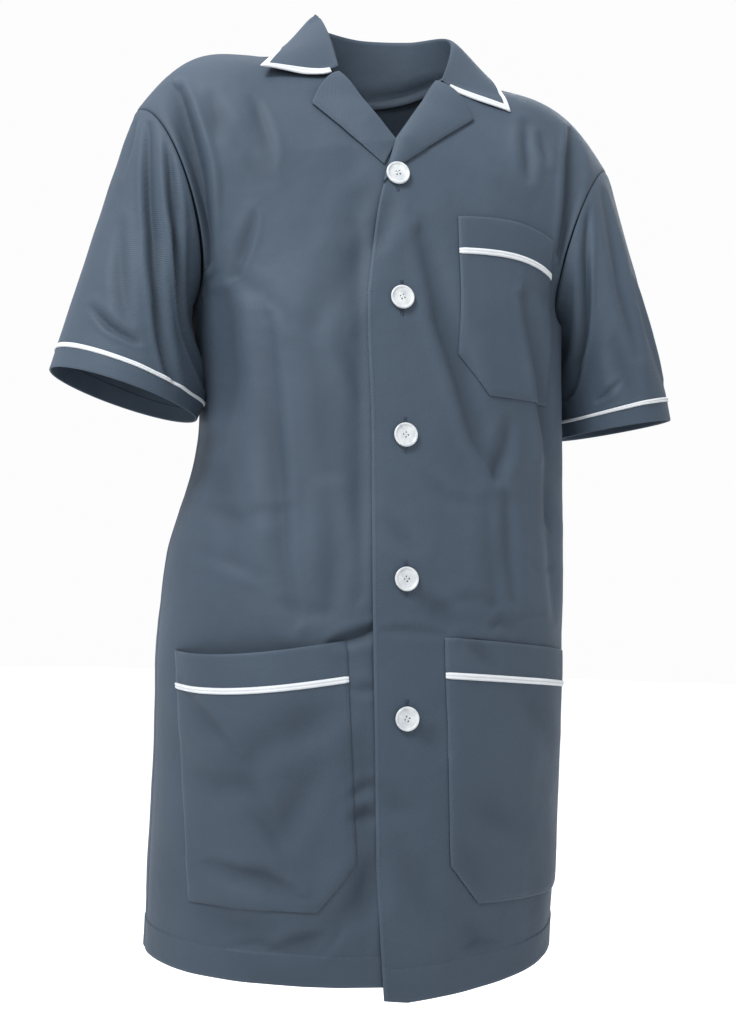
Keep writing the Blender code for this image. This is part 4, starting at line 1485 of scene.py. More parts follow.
# ---------------------------------------------------------------- sub-assemblies
@dataclass
class BodyPanels:
    """The two fronts and the back, with their turned hems and machine stitching."""

    body: BodyPattern
    finishes: Wardrobe
    columns: int = 108
    low_rows: int = 190
    high_rows: int = 84
    back_columns: int = 66
    neck_columns: int = 20
    seam_gap: float = 0.0003
    ridge_gap: float = 0.0009
    edge_stitch: float = 0.0030

    def heights(self) -> Array:
        """The rows' heights, closer at the hem's stitch line.

        Returns:
            Heights from the hem up.
        """
        b = self.body
        line = b.hem + b.hem_height
        return np.unique(np.round(np.concatenate([
            np.linspace(b.hem, b.underarm, self.low_rows), np.linspace(b.underarm, 0.0, self.high_rows),
            line + np.array([-0.0016, -0.0010, -0.0005, 0.0, 0.0005, 0.0010, 0.0016])]), 6))

    def worn_share(self, height: Array, edge: Array) -> Array:
        """How worn the cloth is: at the hem's edge and stitch ridge, and at a free edge.

        Args:
            height: -0.79 at the hem to 0 at the shoulder seam.
            edge: How near a free edge each point lies, from 0 to 1.

        Returns:
            Shares from 0 to 1.
        """
        b = self.body
        line = np.abs(height - b.hem - b.hem_height)
        return np.maximum(near_edge(height - b.hem, 0.003), np.maximum(near_edge(line, 0.0015) * 0.6, edge))

    def front(self, side: Side) -> None:
        """Builds one front from its free edge and roll line to the side seam and armhole.

        Args:
            side: The wearer's side.
        """
        b = self.body
        rows = self.heights()
        height, share = np.meshgrid(rows, np.linspace(0.0, 1.0, self.columns), indexing="ij")
        start = b.free_edge(side, height)
        across = start + (1.0 - start) * share
        spots = Spots(Panel.FRONT, side, across, height)
        points = b.folded(spots, 0.0)
        points[:, -1, 1] -= np.where(rows <= b.underarm, self.seam_gap / 2, 0.0)
        points[-1, :, 1] -= self.ridge_gap / 2
        lift = b.fold_lift(spots, b.half(spots))
        # Painted shade: darker in the folds' troughs and along the side seam and armhole.
        crease = np.maximum(crease_share(lift), near_edge(1.0 - across, 0.012) * 0.7)
        wear = self.worn_share(height, near_edge((across - start) * 0.3, 0.002))
        wall = b.cloth * (0.9 + 0.5 * (height < b.hem + b.hem_height))
        skin = Skin.of(points, b.normals(spots), wall, crease, wear)
        sew_in(skin, f"worn_front_{side.value}", self.finishes, f"front_{side.value}")

    def back(self) -> None:
        """Builds the back, from side seam to side seam."""
        b = self.body
        rows = self.heights()
        shares = np.concatenate([np.linspace(0.0, b.neck_across, self.neck_columns),
                                 np.linspace(b.neck_across, 1.0, self.back_columns)[1:]])
        height, across = np.meshgrid(rows, shares, indexing="ij")
        halves = []
        outward = []
        lifts = []
        for side in Side:
            spots = Spots(Panel.BACK, side, across, height)
            halves.append(b.folded(spots, 0.0))
            outward.append(b.normals(spots))
            lifts.append(b.fold_lift(spots, b.half(spots)))
        points = join_halves(halves[0], halves[1])
        normals = join_halves(outward[0], outward[1])
        lift = join_halves(lifts[0][..., None], lifts[1][..., None])[..., 0]
        for edge in (0, -1):
            points[:, edge, 1] += np.where(rows <= b.underarm, self.seam_gap / 2, 0.0)
        points[-1, :, 1] += self.ridge_gap / 2
        tall = np.repeat(rows[:, None], points.shape[1], axis=1)
        wall = b.cloth * (0.9 + 0.5 * (tall < b.hem + b.hem_height))
        # Painted shade: the crease value darkens the folds' troughs.
        skin = Skin.of(points, normals, wall, crease_share(lift), self.worn_share(tall, np.zeros_like(tall)))
        sew_in(skin, "worn_back", self.finishes, "back")

    def stitching(self) -> None:
        """Sews the hem and the left front's free edge."""
        b = self.body
        seam = SeamLine()
        out = b.cloth * 0.5 + 0.0001
        for side in Side:
            for panel in Panel:
                first = b.free_edge(side, np.array([b.hem]))[0] if panel is Panel.FRONT else 0.0
                across = np.linspace(first + 0.01, 0.985, 90)
                spots = Spots(panel, side, across, np.full_like(across, b.hem + b.hem_height))
                seam.follow(b.folded(spots, out + b.hem_rise * 0.5), b.normals(spots))
        height = np.linspace(b.hem + 0.004, -0.150, 160)
        across = b.free_edge(Side.LEFT, height) + self.edge_stitch / 0.34
        spots = Spots(Panel.FRONT, Side.LEFT, across, height)
        seam.follow(b.folded(spots, out), b.normals(spots))
        hand_over(seam.build("body_stitching", self.finishes.thread), [])

    def build(self) -> None:
        """Builds the panels and their stitching."""
        for side in Side:
            self.front(side)
        self.back()
        self.stitching()


def join_halves(right: Array, left: Array) -> Array:
    """Two half grids, joined along their shared first column, from right to left.

    Args:
        right: The wearer's right half.
        left: The left half.

    Returns:
        One grid.
    """
    right = right[:, ::-1]
    middle = (right[:, -1:] + left[:, :1]) / 2
    return np.concatenate([right[:, :-1], middle, left[:, 1:]], axis=1)


@dataclass
class Sleeves:
    """Each sleeve with the piping and the band below it."""

    body: BodyPattern
    finishes: Wardrobe
    cuff: float = 0.029
    piping: float = 0.0046
    braid_lift: float = 0.0009
    stitch_lift: float = 0.00152
    tuck: float = 0.0012
    hem_stitch: float = 0.0022
    columns: int = 132
    rows: int = 74

    def piece(self, name: str, node: str, pattern: SleevePattern, reach: Array, wall: Array | float,
              trims: Sequence[Piece] = ()) -> Piece:
        """Builds one ring of the sleeve.

        Args:
            name: The object's name.
            node: The CAD node that it stands for.
            pattern: The sleeve's surface.
            reach: The rows, as shares of the sleeve's length.
            wall: The wall's thickness, for each row or for all.
            trims: Not used.

        Returns:
            The object.
        """
        braid = "piping" in node
        turn, along = np.meshgrid(np.linspace(0.0, 1.0, self.columns + 1)[:-1], reach)
        points = pattern.folded(turn, along, self.braid_lift if braid else 0.0)
        normals = pattern.normals(turn, along)
        lift = ((points - pattern.plain(turn, along)) * normals).sum(axis=-1)
        wear = near_edge((1.0 - along) * pattern.length, 0.003)
        # Painted shade: darker in the folds' troughs and by the armhole seam.
        crease = crease_share(lift) + near_edge(along * pattern.length, 0.003) * 0.6
        if braid:
            # Painted shade on the piping: a little in the folds, most in its groove and at its edges.
            crease = crease * 0.2 + piping_groove(len(reach))[:, None] * 0.9
        wall = np.broadcast_to(np.reshape(wall, (-1, 1)), turn.shape)
        skin = Skin.of(points, normals, wall, np.clip(crease, 0.0, 1.0), wear, closed=True)
        return sew_in(skin, name, self.finishes, node, braid=braid)

    def build(self) -> None:
        """Builds both sleeves and sews their piping."""
        seam = SeamLine()
        white = SeamLine()
        for side in Side:
            pattern = SleevePattern(self.body, side)
            band = 1.0 - self.cuff / pattern.length
            top = band - self.piping / pattern.length
            tuck = self.tuck / pattern.length
            word = side.value
            braid = self.piece(f"sleeve_braid_{word}", f"sleeve_piping_{word}", pattern,
                               np.linspace(top, band, 9), piping_wall(9))
            self.piece(f"worn_sleeve_{word}", f"sleeve_{word}", pattern,
                       np.linspace(0.004, band, self.rows), self.body.cloth * 0.9, [braid])
            self.piece(f"worn_cuff_{word}", f"sleeve_band_{word}", pattern,
                       np.linspace(band - tuck, 1.0, 14), self.body.cloth * 1.2)
            turn = np.linspace(0.0, 1.0, 260)
            middle = np.full_like(turn, (top + band) / 2)
            white.follow(pattern.folded(turn, middle, self.stitch_lift), pattern.normals(turn, middle))
            low = np.full_like(turn, 1.0 - self.hem_stitch / pattern.length)
            seam.follow(pattern.folded(turn, low, 0.0006), pattern.normals(turn, low))
        hand_over(seam.build("sleeve_stitching", self.finishes.thread), [])
        hand_over(white.build("sleeve_braid_stitching", self.finishes.white_thread), [])


def piping_wall(count: int, high: float = 0.0019, low: float = 0.0011) -> Array:
    """The piping's thickness across it: two rounded cords with a stitched groove between them."""
    share = np.linspace(0.0, 1.0, count)
    return low + (high - low) * np.abs(np.sin(2 * np.pi * share)) ** 0.6


def piping_groove(count: int) -> Array:
    """Painted shade for the piping: 1 at the groove in the middle, and some at its edges."""
    share = np.linspace(0.0, 1.0, count)
    return np.maximum(near_edge(np.abs(share - 0.5), 0.16), near_edge(0.5 - np.abs(share - 0.5), 0.08) * 0.6)


@dataclass
class Collar:
    """The collar leaf over its stand, piped along its ends and edge."""

    pattern: CollarPattern
    finishes: Wardrobe
    turn_end: float = 0.979
    share_end: float = 0.956
    piping_turn: float = 0.972
    piping_share: float = 0.942
    piping_start: float = 0.46
    seam_allowance: float = 0.008
    columns: int = 170

    def faced(self, points: Array, row: int) -> Array:
        """Normals of a grid round the collar, which face back and up at the nape in the given row."""
        outward = unit(np.cross(np.gradient(points, axis=0), np.gradient(points, axis=1)))
        return -outward if outward[row, points.shape[1] // 2] @ BACK_AND_UP < 0.0 else outward

    def sheet(self, braid: Piece) -> None:
        """Builds the collar's cloth, under its piping.

        Args:
            braid: Not used.
        """
        turned_in, stand, roll = [-1.0, -0.6, -0.2], np.linspace(0.0, 0.33, 9), np.linspace(0.35, 0.45, 9)
        share = np.concatenate([turned_in, stand, roll, np.linspace(0.47, self.share_end, 18)])
        turn, depth = np.meshgrid(np.linspace(-self.turn_end, self.turn_end, self.columns), share)
        points = self.pattern.points(turn, depth)
        ends = smooth_step(0.93, 0.80, np.abs(turn))
        points[..., 2] -= np.clip(-depth, 0.0, 1.0) * self.seam_allowance * ends
        outward = self.faced(points, -4)
        points = points + outward * (COLLAR_WAVE.lift(points) * depth)[..., None]
        wear = np.maximum(near_edge(np.abs(depth - 0.39), 0.03) * 0.5,
                          near_edge(self.turn_end - np.abs(turn), 0.012))
        # Painted shade: the crease value darkens the collar near its seam and its turned-in edge, under the
        # fall.
        skin = Skin.of(points, outward, self.pattern.body.cloth * 1.3, near_edge(depth, 0.1) * 0.5, wear)
        sew_in(skin, "worn_collar", self.finishes, "collar")

    def braid(self) -> Piece:
        """Builds the piping round the collar's two ends and outer edge.

        Returns:
            The piping.
        """
        count, across = 14, 9
        inner_share = np.linspace(self.piping_start, self.piping_share, count + 1)
        turns = np.linspace(self.piping_turn, -self.piping_turn, self.columns)
        first_turn = np.concatenate([np.full(count, turns[0]), turns, np.full(count, turns[-1])])
        edge_share = np.full(self.columns, inner_share[-1])
        first_share = np.concatenate([inner_share[:-1], edge_share, inner_share[-2::-1]])
        outer_share = self.piping_start + (inner_share - self.piping_start) * (1.0 - self.piping_start) / (
            inner_share[-1] - self.piping_start)
        last_turn = np.concatenate([np.full(count, 1.0), turns / turns[0], np.full(count, -1.0)])
        last_share = np.concatenate([outer_share[:-1], np.full(self.columns, 1.0), outer_share[-2::-1]])
        inner = self.pattern.points(first_turn[None], first_share[None])[0]
        outer = self.pattern.points(last_turn[None], last_share[None])[0]
        mix = np.linspace(0.0, 1.0, across)[:, None, None]
        points = blend(inner[None], outer[None], mix)
        outward = self.faced(points, 4)
        wall = np.broadcast_to(piping_wall(across, 0.0021, 0.0014)[:, None], points.shape[:2])
        # Painted shade on the collar piping: darkest in its groove, some at its edges.
        crease = np.broadcast_to(piping_groove(across)[:, None], points.shape[:2])
        skin = Skin.of(points, outward, wall, crease)
        piece = sew_in(skin, "collar_braid", self.finishes, "collar_piping", braid=True)
        seam = SeamLine()
        middle = points[across // 2] + skin.outward[across // 2] * 0.0008
        seam.follow(middle, skin.outward[across // 2])
        hand_over(seam.build("collar_braid_stitching", self.finishes.white_thread), [])
        return piece

    def build(self) -> None:
        """Builds the collar and its piping."""
        self.sheet(self.braid())


@dataclass(frozen=True)
class LapelForm:
    """A lapel seen from the front: its start on the roll line, its point and its outer edge's foot."""

    start: float
    point_x: float
    point_z: float
    foot_x: float
    foot_z: float


@dataclass
class Lapels:
    """The fronts' turned back edges, which roll over at the neck opening."""

    body: BodyPattern
    finishes: Wardrobe
    top: float = -0.030
    foot_reach: float = 0.107
    gorge_rise: float = 0.006
    foot_lift: float = 0.62
    roll_angle: float = 129.6
    lift: float = 0.0030
    columns: int = 40
    rows: int = 56
    wrap: int = 6
    forms: dict[Side, LapelForm] = field(default_factory=lambda: {
        Side.RIGHT: LapelForm(0.0, 0.0690, -0.0615, 0.0112, -0.1117),
        Side.LEFT: LapelForm(-0.27, 0.0725, -0.0600, 0.0045, -0.1105),
    })

    def surface(self, side: Side, along: Array, share: Array, extra: float = 0.0) -> tuple[Array, Array]:
        """A lapel's points and normals, at shares from the roll line (0) to the outer edge (1).

        Args:
            side: The wearer's side.
            along: 0 at the neck opening's foot to 1 at the notch.
            share: Below 0 the cloth turns under at the roll.
            extra: More lift.

        Returns:
            Points and normals.
        """
        b = self.body
        form = self.forms[side]
        inside = np.clip(share, 0.0, 1.0)
        inner_height = b.vee + np.where(along < 0.0, self.foot_reach, self.top - b.vee) * along
        inner = np.where(along < 0.0, b.free_edge(side, np.minimum(inner_height, b.vee)), 0.0)
        outer, outer_height = b.find_on_front(side, blend(form.foot_x, form.point_x, along),
                                              blend(form.foot_z, form.point_z, along))
        across = blend(inner, outer, inside)
        rise = self.gorge_rise * np.sin(np.pi * inside) * smooth_step(0.6, 1.0, along)
        height = blend(inner_height, outer_height, inside) + rise
        ease = smooth_step(form.start, form.start + 0.45, along)
        lift = b.patch_lift * blend(self.foot_lift, 1.0, ease)
        lift = lift + self.lift * ease * np.sin(np.pi * inside) ** 0.7 + extra
        spots = Spots(Panel.FRONT, side, across, height)
        points = b.folded(spots, lift)
        normals = b.normals(spots)
        over = unit(b.folded(replace(spots, across=np.minimum(across + 0.02, 1.0)), lift) - points)
        radius = b.patch_lift / 2
        turn = np.clip(-share, 0.0, 1.0) * math.radians(self.roll_angle)
        rolled = points - over * (radius * np.sin(turn))[..., None]
        rolled = rolled - normals * (radius * (1 - np.cos(turn)))[..., None]
        return np.where((share < 0.0)[..., None], rolled, points), normals

    def build(self) -> None:
        """Builds both lapels and their edge stitching."""
        seam = SeamLine()
        for side in Side:
            form = self.forms[side]
            shares = np.concatenate([np.linspace(-1.0, 0.0, self.wrap),
                                     np.linspace(0.0, 1.0, self.columns)[1:]])
            along, share = np.meshgrid(np.linspace(form.start, 1.0, self.rows), shares, indexing="ij")
            points, normals = self.surface(side, along, share)
            wear = np.maximum(near_edge(1.0 - share, 0.05), near_edge(np.abs(share), 0.06) * 0.6)
            skin = Skin.of(points, normals, self.body.cloth * 1.15, np.zeros_like(share), wear)
            sew_in(skin, f"worn_lapel_{side.value}", self.finishes, f"lapel_{side.value}")
            run = np.linspace(form.start + 0.03, 0.99, 60)
            line, outward = self.surface(side, run, np.full_like(run, 0.955), 0.0007)
            seam.follow(line, outward)
        hand_over(seam.build("lapel_stitching", self.finishes.thread), [])


@dataclass(frozen=True)
class PocketForm:
    """A patch pocket seen from the front, as in the part's source."""

    name: str
    side: Side
    inner_x: float
    top_z: float
    width: float
    height: float
    lean: float
    tilt: float
    sag: float
    clip_x: float
    clip_z: float
    gape: float


@dataclass
class Pockets:
    """The three patch pockets, each with its band, its piping and its patch with a cut corner."""

    body: BodyPattern
    finishes: Wardrobe
    band: float = 0.028
    piping: float = 0.0046
    braid_lift: float = 0.0009
    stitch_lift: float = 0.0016
    tuck: float = 0.0012
    columns: int = 58
    edge_stitch: float = 0.0018
    forms: tuple[PocketForm, ...] = (
        PocketForm("chest_pocket", Side.LEFT, 0.0515, -0.152, 0.093, 0.150, -0.003, 0.009, -0.006,
                   0.027, 0.033, 0.0),
        PocketForm("hip_pocket_right", Side.RIGHT, 0.0475, -0.507, 0.1215, 0.214, -0.009, 0.012, 0.007,
                   0.032, 0.038, 0.016),
        PocketForm("hip_pocket_left", Side.LEFT, 0.0335, -0.503, 0.132, 0.215, 0.004, 0.011, 0.0,
                   0.026, 0.032, 0.0),
    )

    def place(self, form: PocketForm, row: Array, column: Array) -> tuple[Spots, Array]:
        """Where a pocket's points lie on the front, from the mouth (row 0) to the foot (row 1).

        Args:
            form: The pocket's sizes.
            row: Shares of its height.
            column: Shares of its width.

        Returns:
            Their places, and how far they stand off.
        """
        drop = row * form.height
        cut = np.clip((drop - form.height + form.clip_z) / form.clip_z, 0.0, 1.0)
        hang = (form.tilt * column + form.sag * np.sin(np.pi * column)) * (1.0 - row)
        z = form.top_z - drop - hang
        b = self.body
        left, left_height = b.find_on_front(form.side, form.inner_x + form.lean * row + form.clip_x * cut, z)
        right, right_height = b.find_on_front(form.side, form.inner_x + form.lean * row + form.width, z)
        mouth = (1.0 - smooth_step(0.0, 0.85, row)) * np.sin(np.pi * column) ** 1.2
        edge = smooth_step(0.0, 0.04, np.minimum(column, 1.0 - column)) * smooth_step(1.0, 0.975, row)
        lift = b.patch_lift - 0.0007 * (1.0 - edge) + 0.0005 * edge + form.gape * mouth
        height = blend(left_height, right_height, column)
        return Spots(Panel.FRONT, form.side, blend(left, right, column), height), lift

    def points(self, form: PocketForm, row: Array, column: Array, extra: float = 0.0) -> tuple[Array, Array]:
        """A pocket's points on the folded front, extra further out, and its outward normals."""
        spots, lift = self.place(form, row, column)
        return self.body.folded(spots, lift + extra), self.body.normals(spots)

    def piece(self, form: PocketForm, suffix: str, shares: Array,
              trims: Sequence[Piece]) -> Piece:
        """Builds one piece of a pocket.

        Args:
            form: The pocket's sizes.
            suffix: "_piping", "_band" or nothing for the bag, added to the pocket's name.
            shares: Its rows, as shares of the pocket's height.
            trims: Not used.

        Returns:
            The object.
        """
        row, column = np.meshgrid(shares, np.linspace(0.0, 1.0, self.columns), indexing="ij")
        braid = suffix == "_piping"
        points, outward = self.points(form, row, column, self.braid_lift if braid else 0.0)
        if braid:
            # Painted shade on the piping: darkest in its groove, some at its edges.
            wall, crease = (np.broadcast_to(make(len(shares))[:, None], row.shape)
                            for make in (piping_wall, piping_groove))
            wear = np.zeros_like(row)
        else:
            plain = self.body.half(self.place(form, row, column)[0])
            lift = self.body.folds[Panel.FRONT].lift(plain[..., 0], plain[..., 2], form.side)
            edge = np.minimum(column, 1.0 - column) * form.width
            foot = (1.0 - row) * form.height
            wall = np.full(row.shape, self.body.cloth * (1.2 if suffix else 0.95))
            # Painted shade: darker in the folds' troughs.
            crease = crease_share(lift) * 0.8
            wear = np.maximum(near_edge(np.minimum(edge, foot), 0.003), near_edge(row * form.height, 0.003))
        skin = Skin.of(points, outward, wall, crease, wear)
        node = form.name + suffix
        return sew_in(skin, "worn_" + node, self.finishes, node, braid=braid)

    def sew(self, form: PocketForm, seam: SeamLine, low: float) -> None:
        """Stitches a pocket's edges down one side, round its foot with the cut corner, and up the other.

        Args:
            form: The pocket's sizes.
            seam: Takes the stitches.
            low: Where the cut corner begins, as a share of the pocket's height.
        """
        inset = self.edge_stitch / form.width
        down = np.linspace(0.01, low, 90)
        corner = np.linspace(low, 1.0 - self.edge_stitch / form.height, 16)
        foot = np.linspace(inset, 1.0 - inset, 60)
        row = np.concatenate([down, corner[1:], np.full(len(foot), corner[-1]), corner[::-1], down[::-1]])
        column = np.concatenate([np.full(len(down) + len(corner) - 1, inset), foot,
                                 np.full(len(corner) + len(down), 1.0 - inset)])
        seam.follow(*self.points(form, row, column, self.body.cloth * 0.5 + 0.0001))

    def build_one(self, form: PocketForm, seam: SeamLine, white: SeamLine) -> None:
        """Builds one pocket.

        Args:
            form: The pocket's sizes.
            seam: Takes its edge stitches.
            white: Takes its piping's stitches.
        """
        band = self.band / form.height
        low = band + self.piping / form.height
        clip = 1.0 - form.clip_z / form.height
        bag = np.concatenate([np.linspace(band, clip, 62), np.linspace(clip, 1.0, 18)[1:]])
        braid = self.piece(form, "_piping", np.linspace(band, low, 9), [])
        self.piece(form, "", bag, [braid])
        self.piece(form, "_band", np.linspace(0.0, band + self.tuck / form.height, 16), [])
        self.sew(form, seam, clip)
        column = np.linspace(0.005, 0.995, 90)
        white.follow(*self.points(form, np.full_like(column, (band + low) / 2), column, self.stitch_lift))

    def build(self) -> None:
        """Builds the pockets and sews them on."""
        seam = SeamLine()
        white = SeamLine()
        for form in self.forms:
            self.build_one(form, seam, white)
        hand_over(seam.build("pocket_stitching", self.finishes.thread), [])
        hand_over(white.build("pocket_braid_stitching", self.finishes.white_thread), [])


@dataclass
class Buttons:
    """Five four-hole buttons, sewn on over their buttonholes."""

    body: BodyPattern
    finishes: Wardrobe
    radius: float = 0.0100
    thickness: float = 0.0028
    hole_ring: float = 0.0019
    hole_radius: float = 0.00065
    slot: float = 0.0142
    slot_edge: float = 0.0010
    edge_length: float = 0.0017
    bar_width: float = 0.0016
    bar_length: float = 0.0034
    seat: float = 0.0011
    around: int = 64
    drill_sides: int = 16
    drill_from: float = -0.001
    drill_to: float = 0.004
    twist: float = 13.0
    sharp: float = 38.0
    section: tuple[tuple[float, float], ...] = (
        (0.0, 0.0), (0.5, 0.0), (0.86, 0.0), (0.95, 0.14), (0.995, 0.40), (1.0, 0.60), (0.985, 0.82),
        (0.95, 0.96), (0.90, 1.0), (0.84, 0.96), (0.79, 0.84), (0.76, 0.74), (0.70, 0.70), (0.50, 0.68),
        (0.30, 0.70), (0.0, 0.70))

    def profile(self) -> list[tuple[float, float]]:
        """The turned section, from the middle of the underside round to the middle of the face."""
        return [(self.radius * across, self.thickness * up) for across, up in self.section]

    def blank(self) -> Piece:
        """A turned button without holes.

        Returns:
            The button, not yet in the scene.
        """
        section = self.profile()
        inner = section[1:-1]
        angle = np.linspace(0.0, 2 * np.pi, self.around + 1)[:-1]
        rings = np.array([[(x * math.cos(a), x * math.sin(a), z) for a in angle] for x, z in inner])
        middles = [(0.0, 0.0, section[0][1]), (0.0, 0.0, section[-1][1])]
        verts = np.concatenate([rings.reshape(-1, 3), middles])
        index = np.arange(len(inner) * self.around).reshape(len(inner), self.around)
        after = np.roll(index, -1, axis=1)
        faces = np.stack([index[:-1], after[:-1], after[1:], index[1:]], axis=-1).reshape(-1, 4).tolist()
        low, high = len(verts) - 2, len(verts) - 1
        faces += [[low, int(b), int(a)] for a, b in zip(index[0], after[0])]
        faces += [[high, int(a), int(b)] for a, b in zip(index[-1], after[-1])]
        mesh = bpy.data.meshes.new("button_blank")
        mesh.from_pydata(verts.tolist(), [], faces)
        return bpy.data.objects.new("button_blank", mesh)

    def drill(self, turn: float) -> Piece:
        """A prism that cuts one hole.

        Args:
            turn: The hole's place round the button, in degrees.

        Returns:
            The prism, in the scene.
        """
        count = self.drill_sides
        x = self.hole_ring * math.cos(math.radians(turn))
        y = self.hole_ring * math.sin(math.radians(turn))
        angle = np.linspace(0.0, 2 * np.pi, count + 1)[:-1]
        ring = [(x + self.hole_radius * math.cos(a), y + self.hole_radius * math.sin(a)) for a in angle]
        verts = [(p, q, z) for z in (self.drill_from, self.drill_to) for p, q in ring]
        faces = [[k, (k + 1) % count, count + (k + 1) % count, count + k] for k in range(count)]
        faces += [list(range(count - 1, -1, -1)), list(range(count, 2 * count))]
        mesh = bpy.data.meshes.new("drill")
        mesh.from_pydata(verts, [], faces)
        cutter = bpy.data.objects.new("drill", mesh)
        bpy.context.scene.collection.objects.link(cutter)
        return cutter

    def drilled(self) -> bpy.types.Mesh:
        """The button's mesh with its four holes cut right through.

        Returns:
            The mesh, about its own middle.
        """
        blank = self.blank()
        bpy.context.scene.collection.objects.link(blank)
        cutters = [self.drill(turn) for turn in (45, 135, 225, 315)]
        for cutter in cutters:
            cut = blank.modifiers.new("Hole", "BOOLEAN")
            cut.operation = "DIFFERENCE"
            cut.object = cutter
            cut.solver = "EXACT"
        graph = bpy.context.evaluated_depsgraph_get()
        mesh = bpy.data.meshes.new_from_object(blank.evaluated_get(graph))
        for item in [blank, *cutters]:
            bpy.data.objects.remove(item, do_unlink=True)
        mesh.shade_smooth()
        mesh.set_sharp_from_angle(angle=math.radians(self.sharp))
        mesh.materials.clear()
        mesh.materials.append(self.finishes.button)
        return mesh

    def frame_at(self, x: float, z: float) -> Matrix:
        """Where a button sits: square to the left front at one place.

        Args:
            x: Its distance from the centre line.
            z: Its height.

        Returns:
            The place, with Z off the cloth.
        """
        b = self.body
        across, height = b.find_on_front(Side.LEFT, np.array([0.0]), np.array([z]))
        across = across + x / (3 * b.fullness * 0.18)
        spots = Spots(Panel.FRONT, Side.LEFT, across, height)
        seat = b.folded(spots, self.seat)[0]
        normal = Vector(b.normals(spots)[0])
        up = Vector((0.0, 0.0, 1.0))
        side = up.cross(normal).normalized()
        turned = Matrix((side, normal.cross(side), normal)).transposed()
        return Matrix.Translation(Vector(seat)) @ turned.to_4x4()

    def sew_button(self, seam: SeamLine, frame: Matrix) -> None:
        """Adds the threads through a button's four holes.

        Args:
            seam: Takes the stitches.
            frame: The button's place.
        """
        across, up, out, origin = np.array(frame)[:3].T
        reach = self.hole_ring * 0.707
        face = self.thickness * 0.72 + 0.0001
        for aside in (-reach, reach):
            for shift in (-0.0003, 0.0, 0.0003):
                centre = origin + across * (aside + shift) + out * face
                seam.add(centre[None], up[None], out[None], reach * 2 + 0.0008, seam.radius)

    def sew_hole(self, seam: SeamLine, frame: Matrix) -> None:
        """Adds a buttonhole's two rows of close stitches and the bars at its ends.

        Args:
            seam: Takes the stitches.
            frame: The button's place.
        """
        across, up, out, origin = np.array(frame)[:3].T
        for end in (-1.0, 1.0):
            for shift in np.linspace(-self.bar_width / 2, self.bar_width / 2, 5):
                centre = origin + up * (end * self.slot + shift) - out * 0.0004
                seam.add(centre[None], across[None], out[None], self.bar_length, 0.00030)
        reach = self.slot - 0.001
        for step in np.linspace(-reach, reach, 44):
            for aside in (-self.slot_edge, self.slot_edge):
                centre = origin + up * step + across * aside - out * 0.00045
                seam.add(centre[None], across[None], out[None], self.edge_length, 0.00024)

    def build(self) -> None:
        """Builds the buttons and their sewing."""
        mesh = self.drilled()
        white = SeamLine()
        holes = SeamLine()
        for number, (x, z) in enumerate(BUTTON_PLACES, start=1):
            frame = self.frame_at(x, z)
            turned = frame @ Matrix.Rotation(math.radians(self.twist * number), 4, "Z")
            shaped = mesh.copy()
            shaped.transform(turned)
            piece = bpy.data.objects.new(f"pearl_button_{number}", shaped)
            bpy.context.scene.collection.objects.link(piece)
            hand_over(piece, [f"button_{number}"])
            self.sew_button(white, turned)
            self.sew_hole(holes, frame)
        hand_over(white.build("button_thread", self.finishes.white_thread), [])
        hand_over(holes.build("buttonhole_thread", self.finishes.thread), [])


@dataclass(frozen=True)
class LampForm:
    """One square soft light: its name, its place, the length of its side and its power in watts."""

    name: str
    place: tuple[float, float, float]
    size: float
    power: float


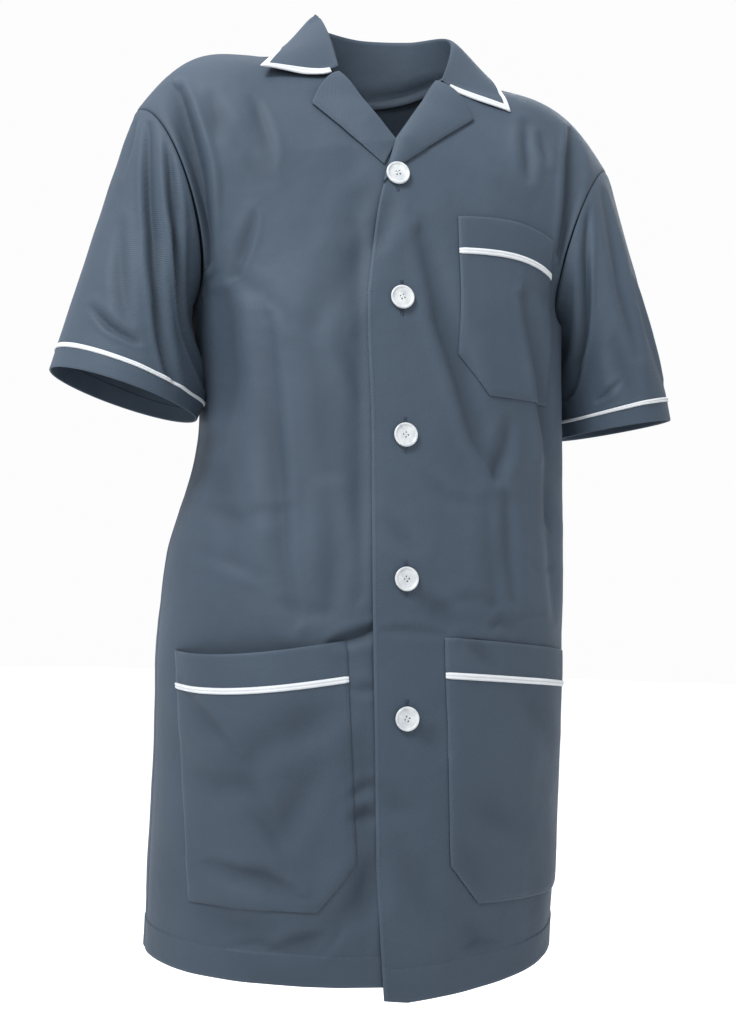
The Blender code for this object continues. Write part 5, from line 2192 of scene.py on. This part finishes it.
@dataclass
class Studio:
    """A pale floor under a bright sky, soft lights and the camera at the photo's angle."""

    floor: float = -1.12
    floor_rings: tuple[float, ...] = (0.02, 2.0, 5.0, 12.0)
    floor_sides: int = 96
    chest: tuple[float, float, float] = (0.0, 0.0, -0.40)
    lamps: tuple[LampForm, ...] = (
        LampForm("key_light", (-1.15, -1.0, 1.3), 0.7, 33.0),
        LampForm("top_light", (0.1, 0.1, 2.2), 1.2, 7.0),
        LampForm("back_light", (1.4, 2.0, 1.2), 1.2, 14.0),
    )
    yaw: float = 15.0
    roll: float = 1.4
    lens: float = 49.22
    place: tuple[float, float, float] = (-0.3235, -1.2074, -0.478)
    shift: tuple[float, float] = (0.0078, 0.0908)
    sky: float = 0.72
    exposure: float = 0.45
    gamma: float = 0.80

    def backdrop(self) -> None:
        """Builds the floor as a flat disc."""
        count = self.floor_sides
        angle = np.linspace(0.0, 2 * np.pi, count + 1)[:-1]
        verts = np.array([[(r * math.cos(a), r * math.sin(a), self.floor) for a in angle]
                          for r in self.floor_rings])
        index = np.arange(len(self.floor_rings) * count).reshape(-1, count)
        after = np.roll(index, -1, axis=1)
        faces = np.stack([index[:-1], index[1:], after[1:], after[:-1]], axis=-1).reshape(-1, 4)
        material = StudioFinish("pale_paper").material()
        make_object("studio_floor", verts.reshape(-1, 3), faces, material)

    def lamp(self, form: LampForm) -> None:
        """Adds one light that faces the chest.

        Args:
            form: The light's name, place, size and power.
        """
        light = bpy.data.lights.new(form.name, "AREA")
        light.size = form.size
        light.energy = form.power
        item = bpy.data.objects.new(form.name, light)
        item.location = form.place
        item.rotation_mode = "QUATERNION"
        item.rotation_quaternion = (Vector(self.chest) - Vector(form.place)).to_track_quat("-Z", "Y")
        bpy.context.scene.collection.objects.link(item)

    def camera(self) -> None:
        """Sets the camera where the photo was taken from."""
        yaw = math.radians(self.yaw)
        roll = math.radians(self.roll)
        ahead = Vector((math.sin(yaw), math.cos(yaw), 0.0))
        right = Vector((math.cos(yaw), -math.sin(yaw), 0.0))
        up = Vector((0.0, 0.0, 1.0))
        turned_right = right * math.cos(roll) + up * math.sin(roll)
        turned_up = up * math.cos(roll) - right * math.sin(roll)
        data = bpy.data.cameras.new("studio_camera")
        data.lens = self.lens
        data.sensor_width = 36.0
        data.shift_x, data.shift_y = self.shift
        item = bpy.data.objects.new("studio_camera", data)
        turn = Matrix((turned_right, turned_up, -ahead)).transposed()
        item.matrix_world = Matrix.Translation(Vector(self.place)) @ turn.to_4x4()
        bpy.context.scene.collection.objects.link(item)
        bpy.context.scene.camera = item

    def build(self) -> None:
        """Sets up the whole studio."""
        self.backdrop()
        self.camera()
        for form in self.lamps:
            self.lamp(form)
        world = bpy.data.worlds.new("studio_sky")
        world.use_nodes = True
        shade = world.node_tree.nodes["Background"]
        shade.inputs["Color"].default_value = colour(1.0, 1.0, 1.0)
        shade.inputs["Strength"].default_value = self.sky
        bpy.context.scene.world = world
        view = bpy.context.scene.view_settings
        view.view_transform = "Standard"
        view.exposure = self.exposure
        view.gamma = self.gamma


def main() -> None:
    """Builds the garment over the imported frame, piece by piece, and the studio round it."""
    logging.basicConfig(level=logging.INFO, format="%(message)s")
    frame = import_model()
    LOG.info("the frame has %d nodes", len(frame["nodes"]))
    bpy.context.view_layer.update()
    body = BodyPattern()
    finishes = Wardrobe.make()
    BodyPanels(body, finishes).build()
    Sleeves(body, finishes).build()
    Collar(CollarPattern(body), finishes).build()
    Lapels(body, finishes).build()
    Pockets(body, finishes).build()
    Buttons(body, finishes).build()
    Studio().build()


if __name__ == "__main__":
    main()
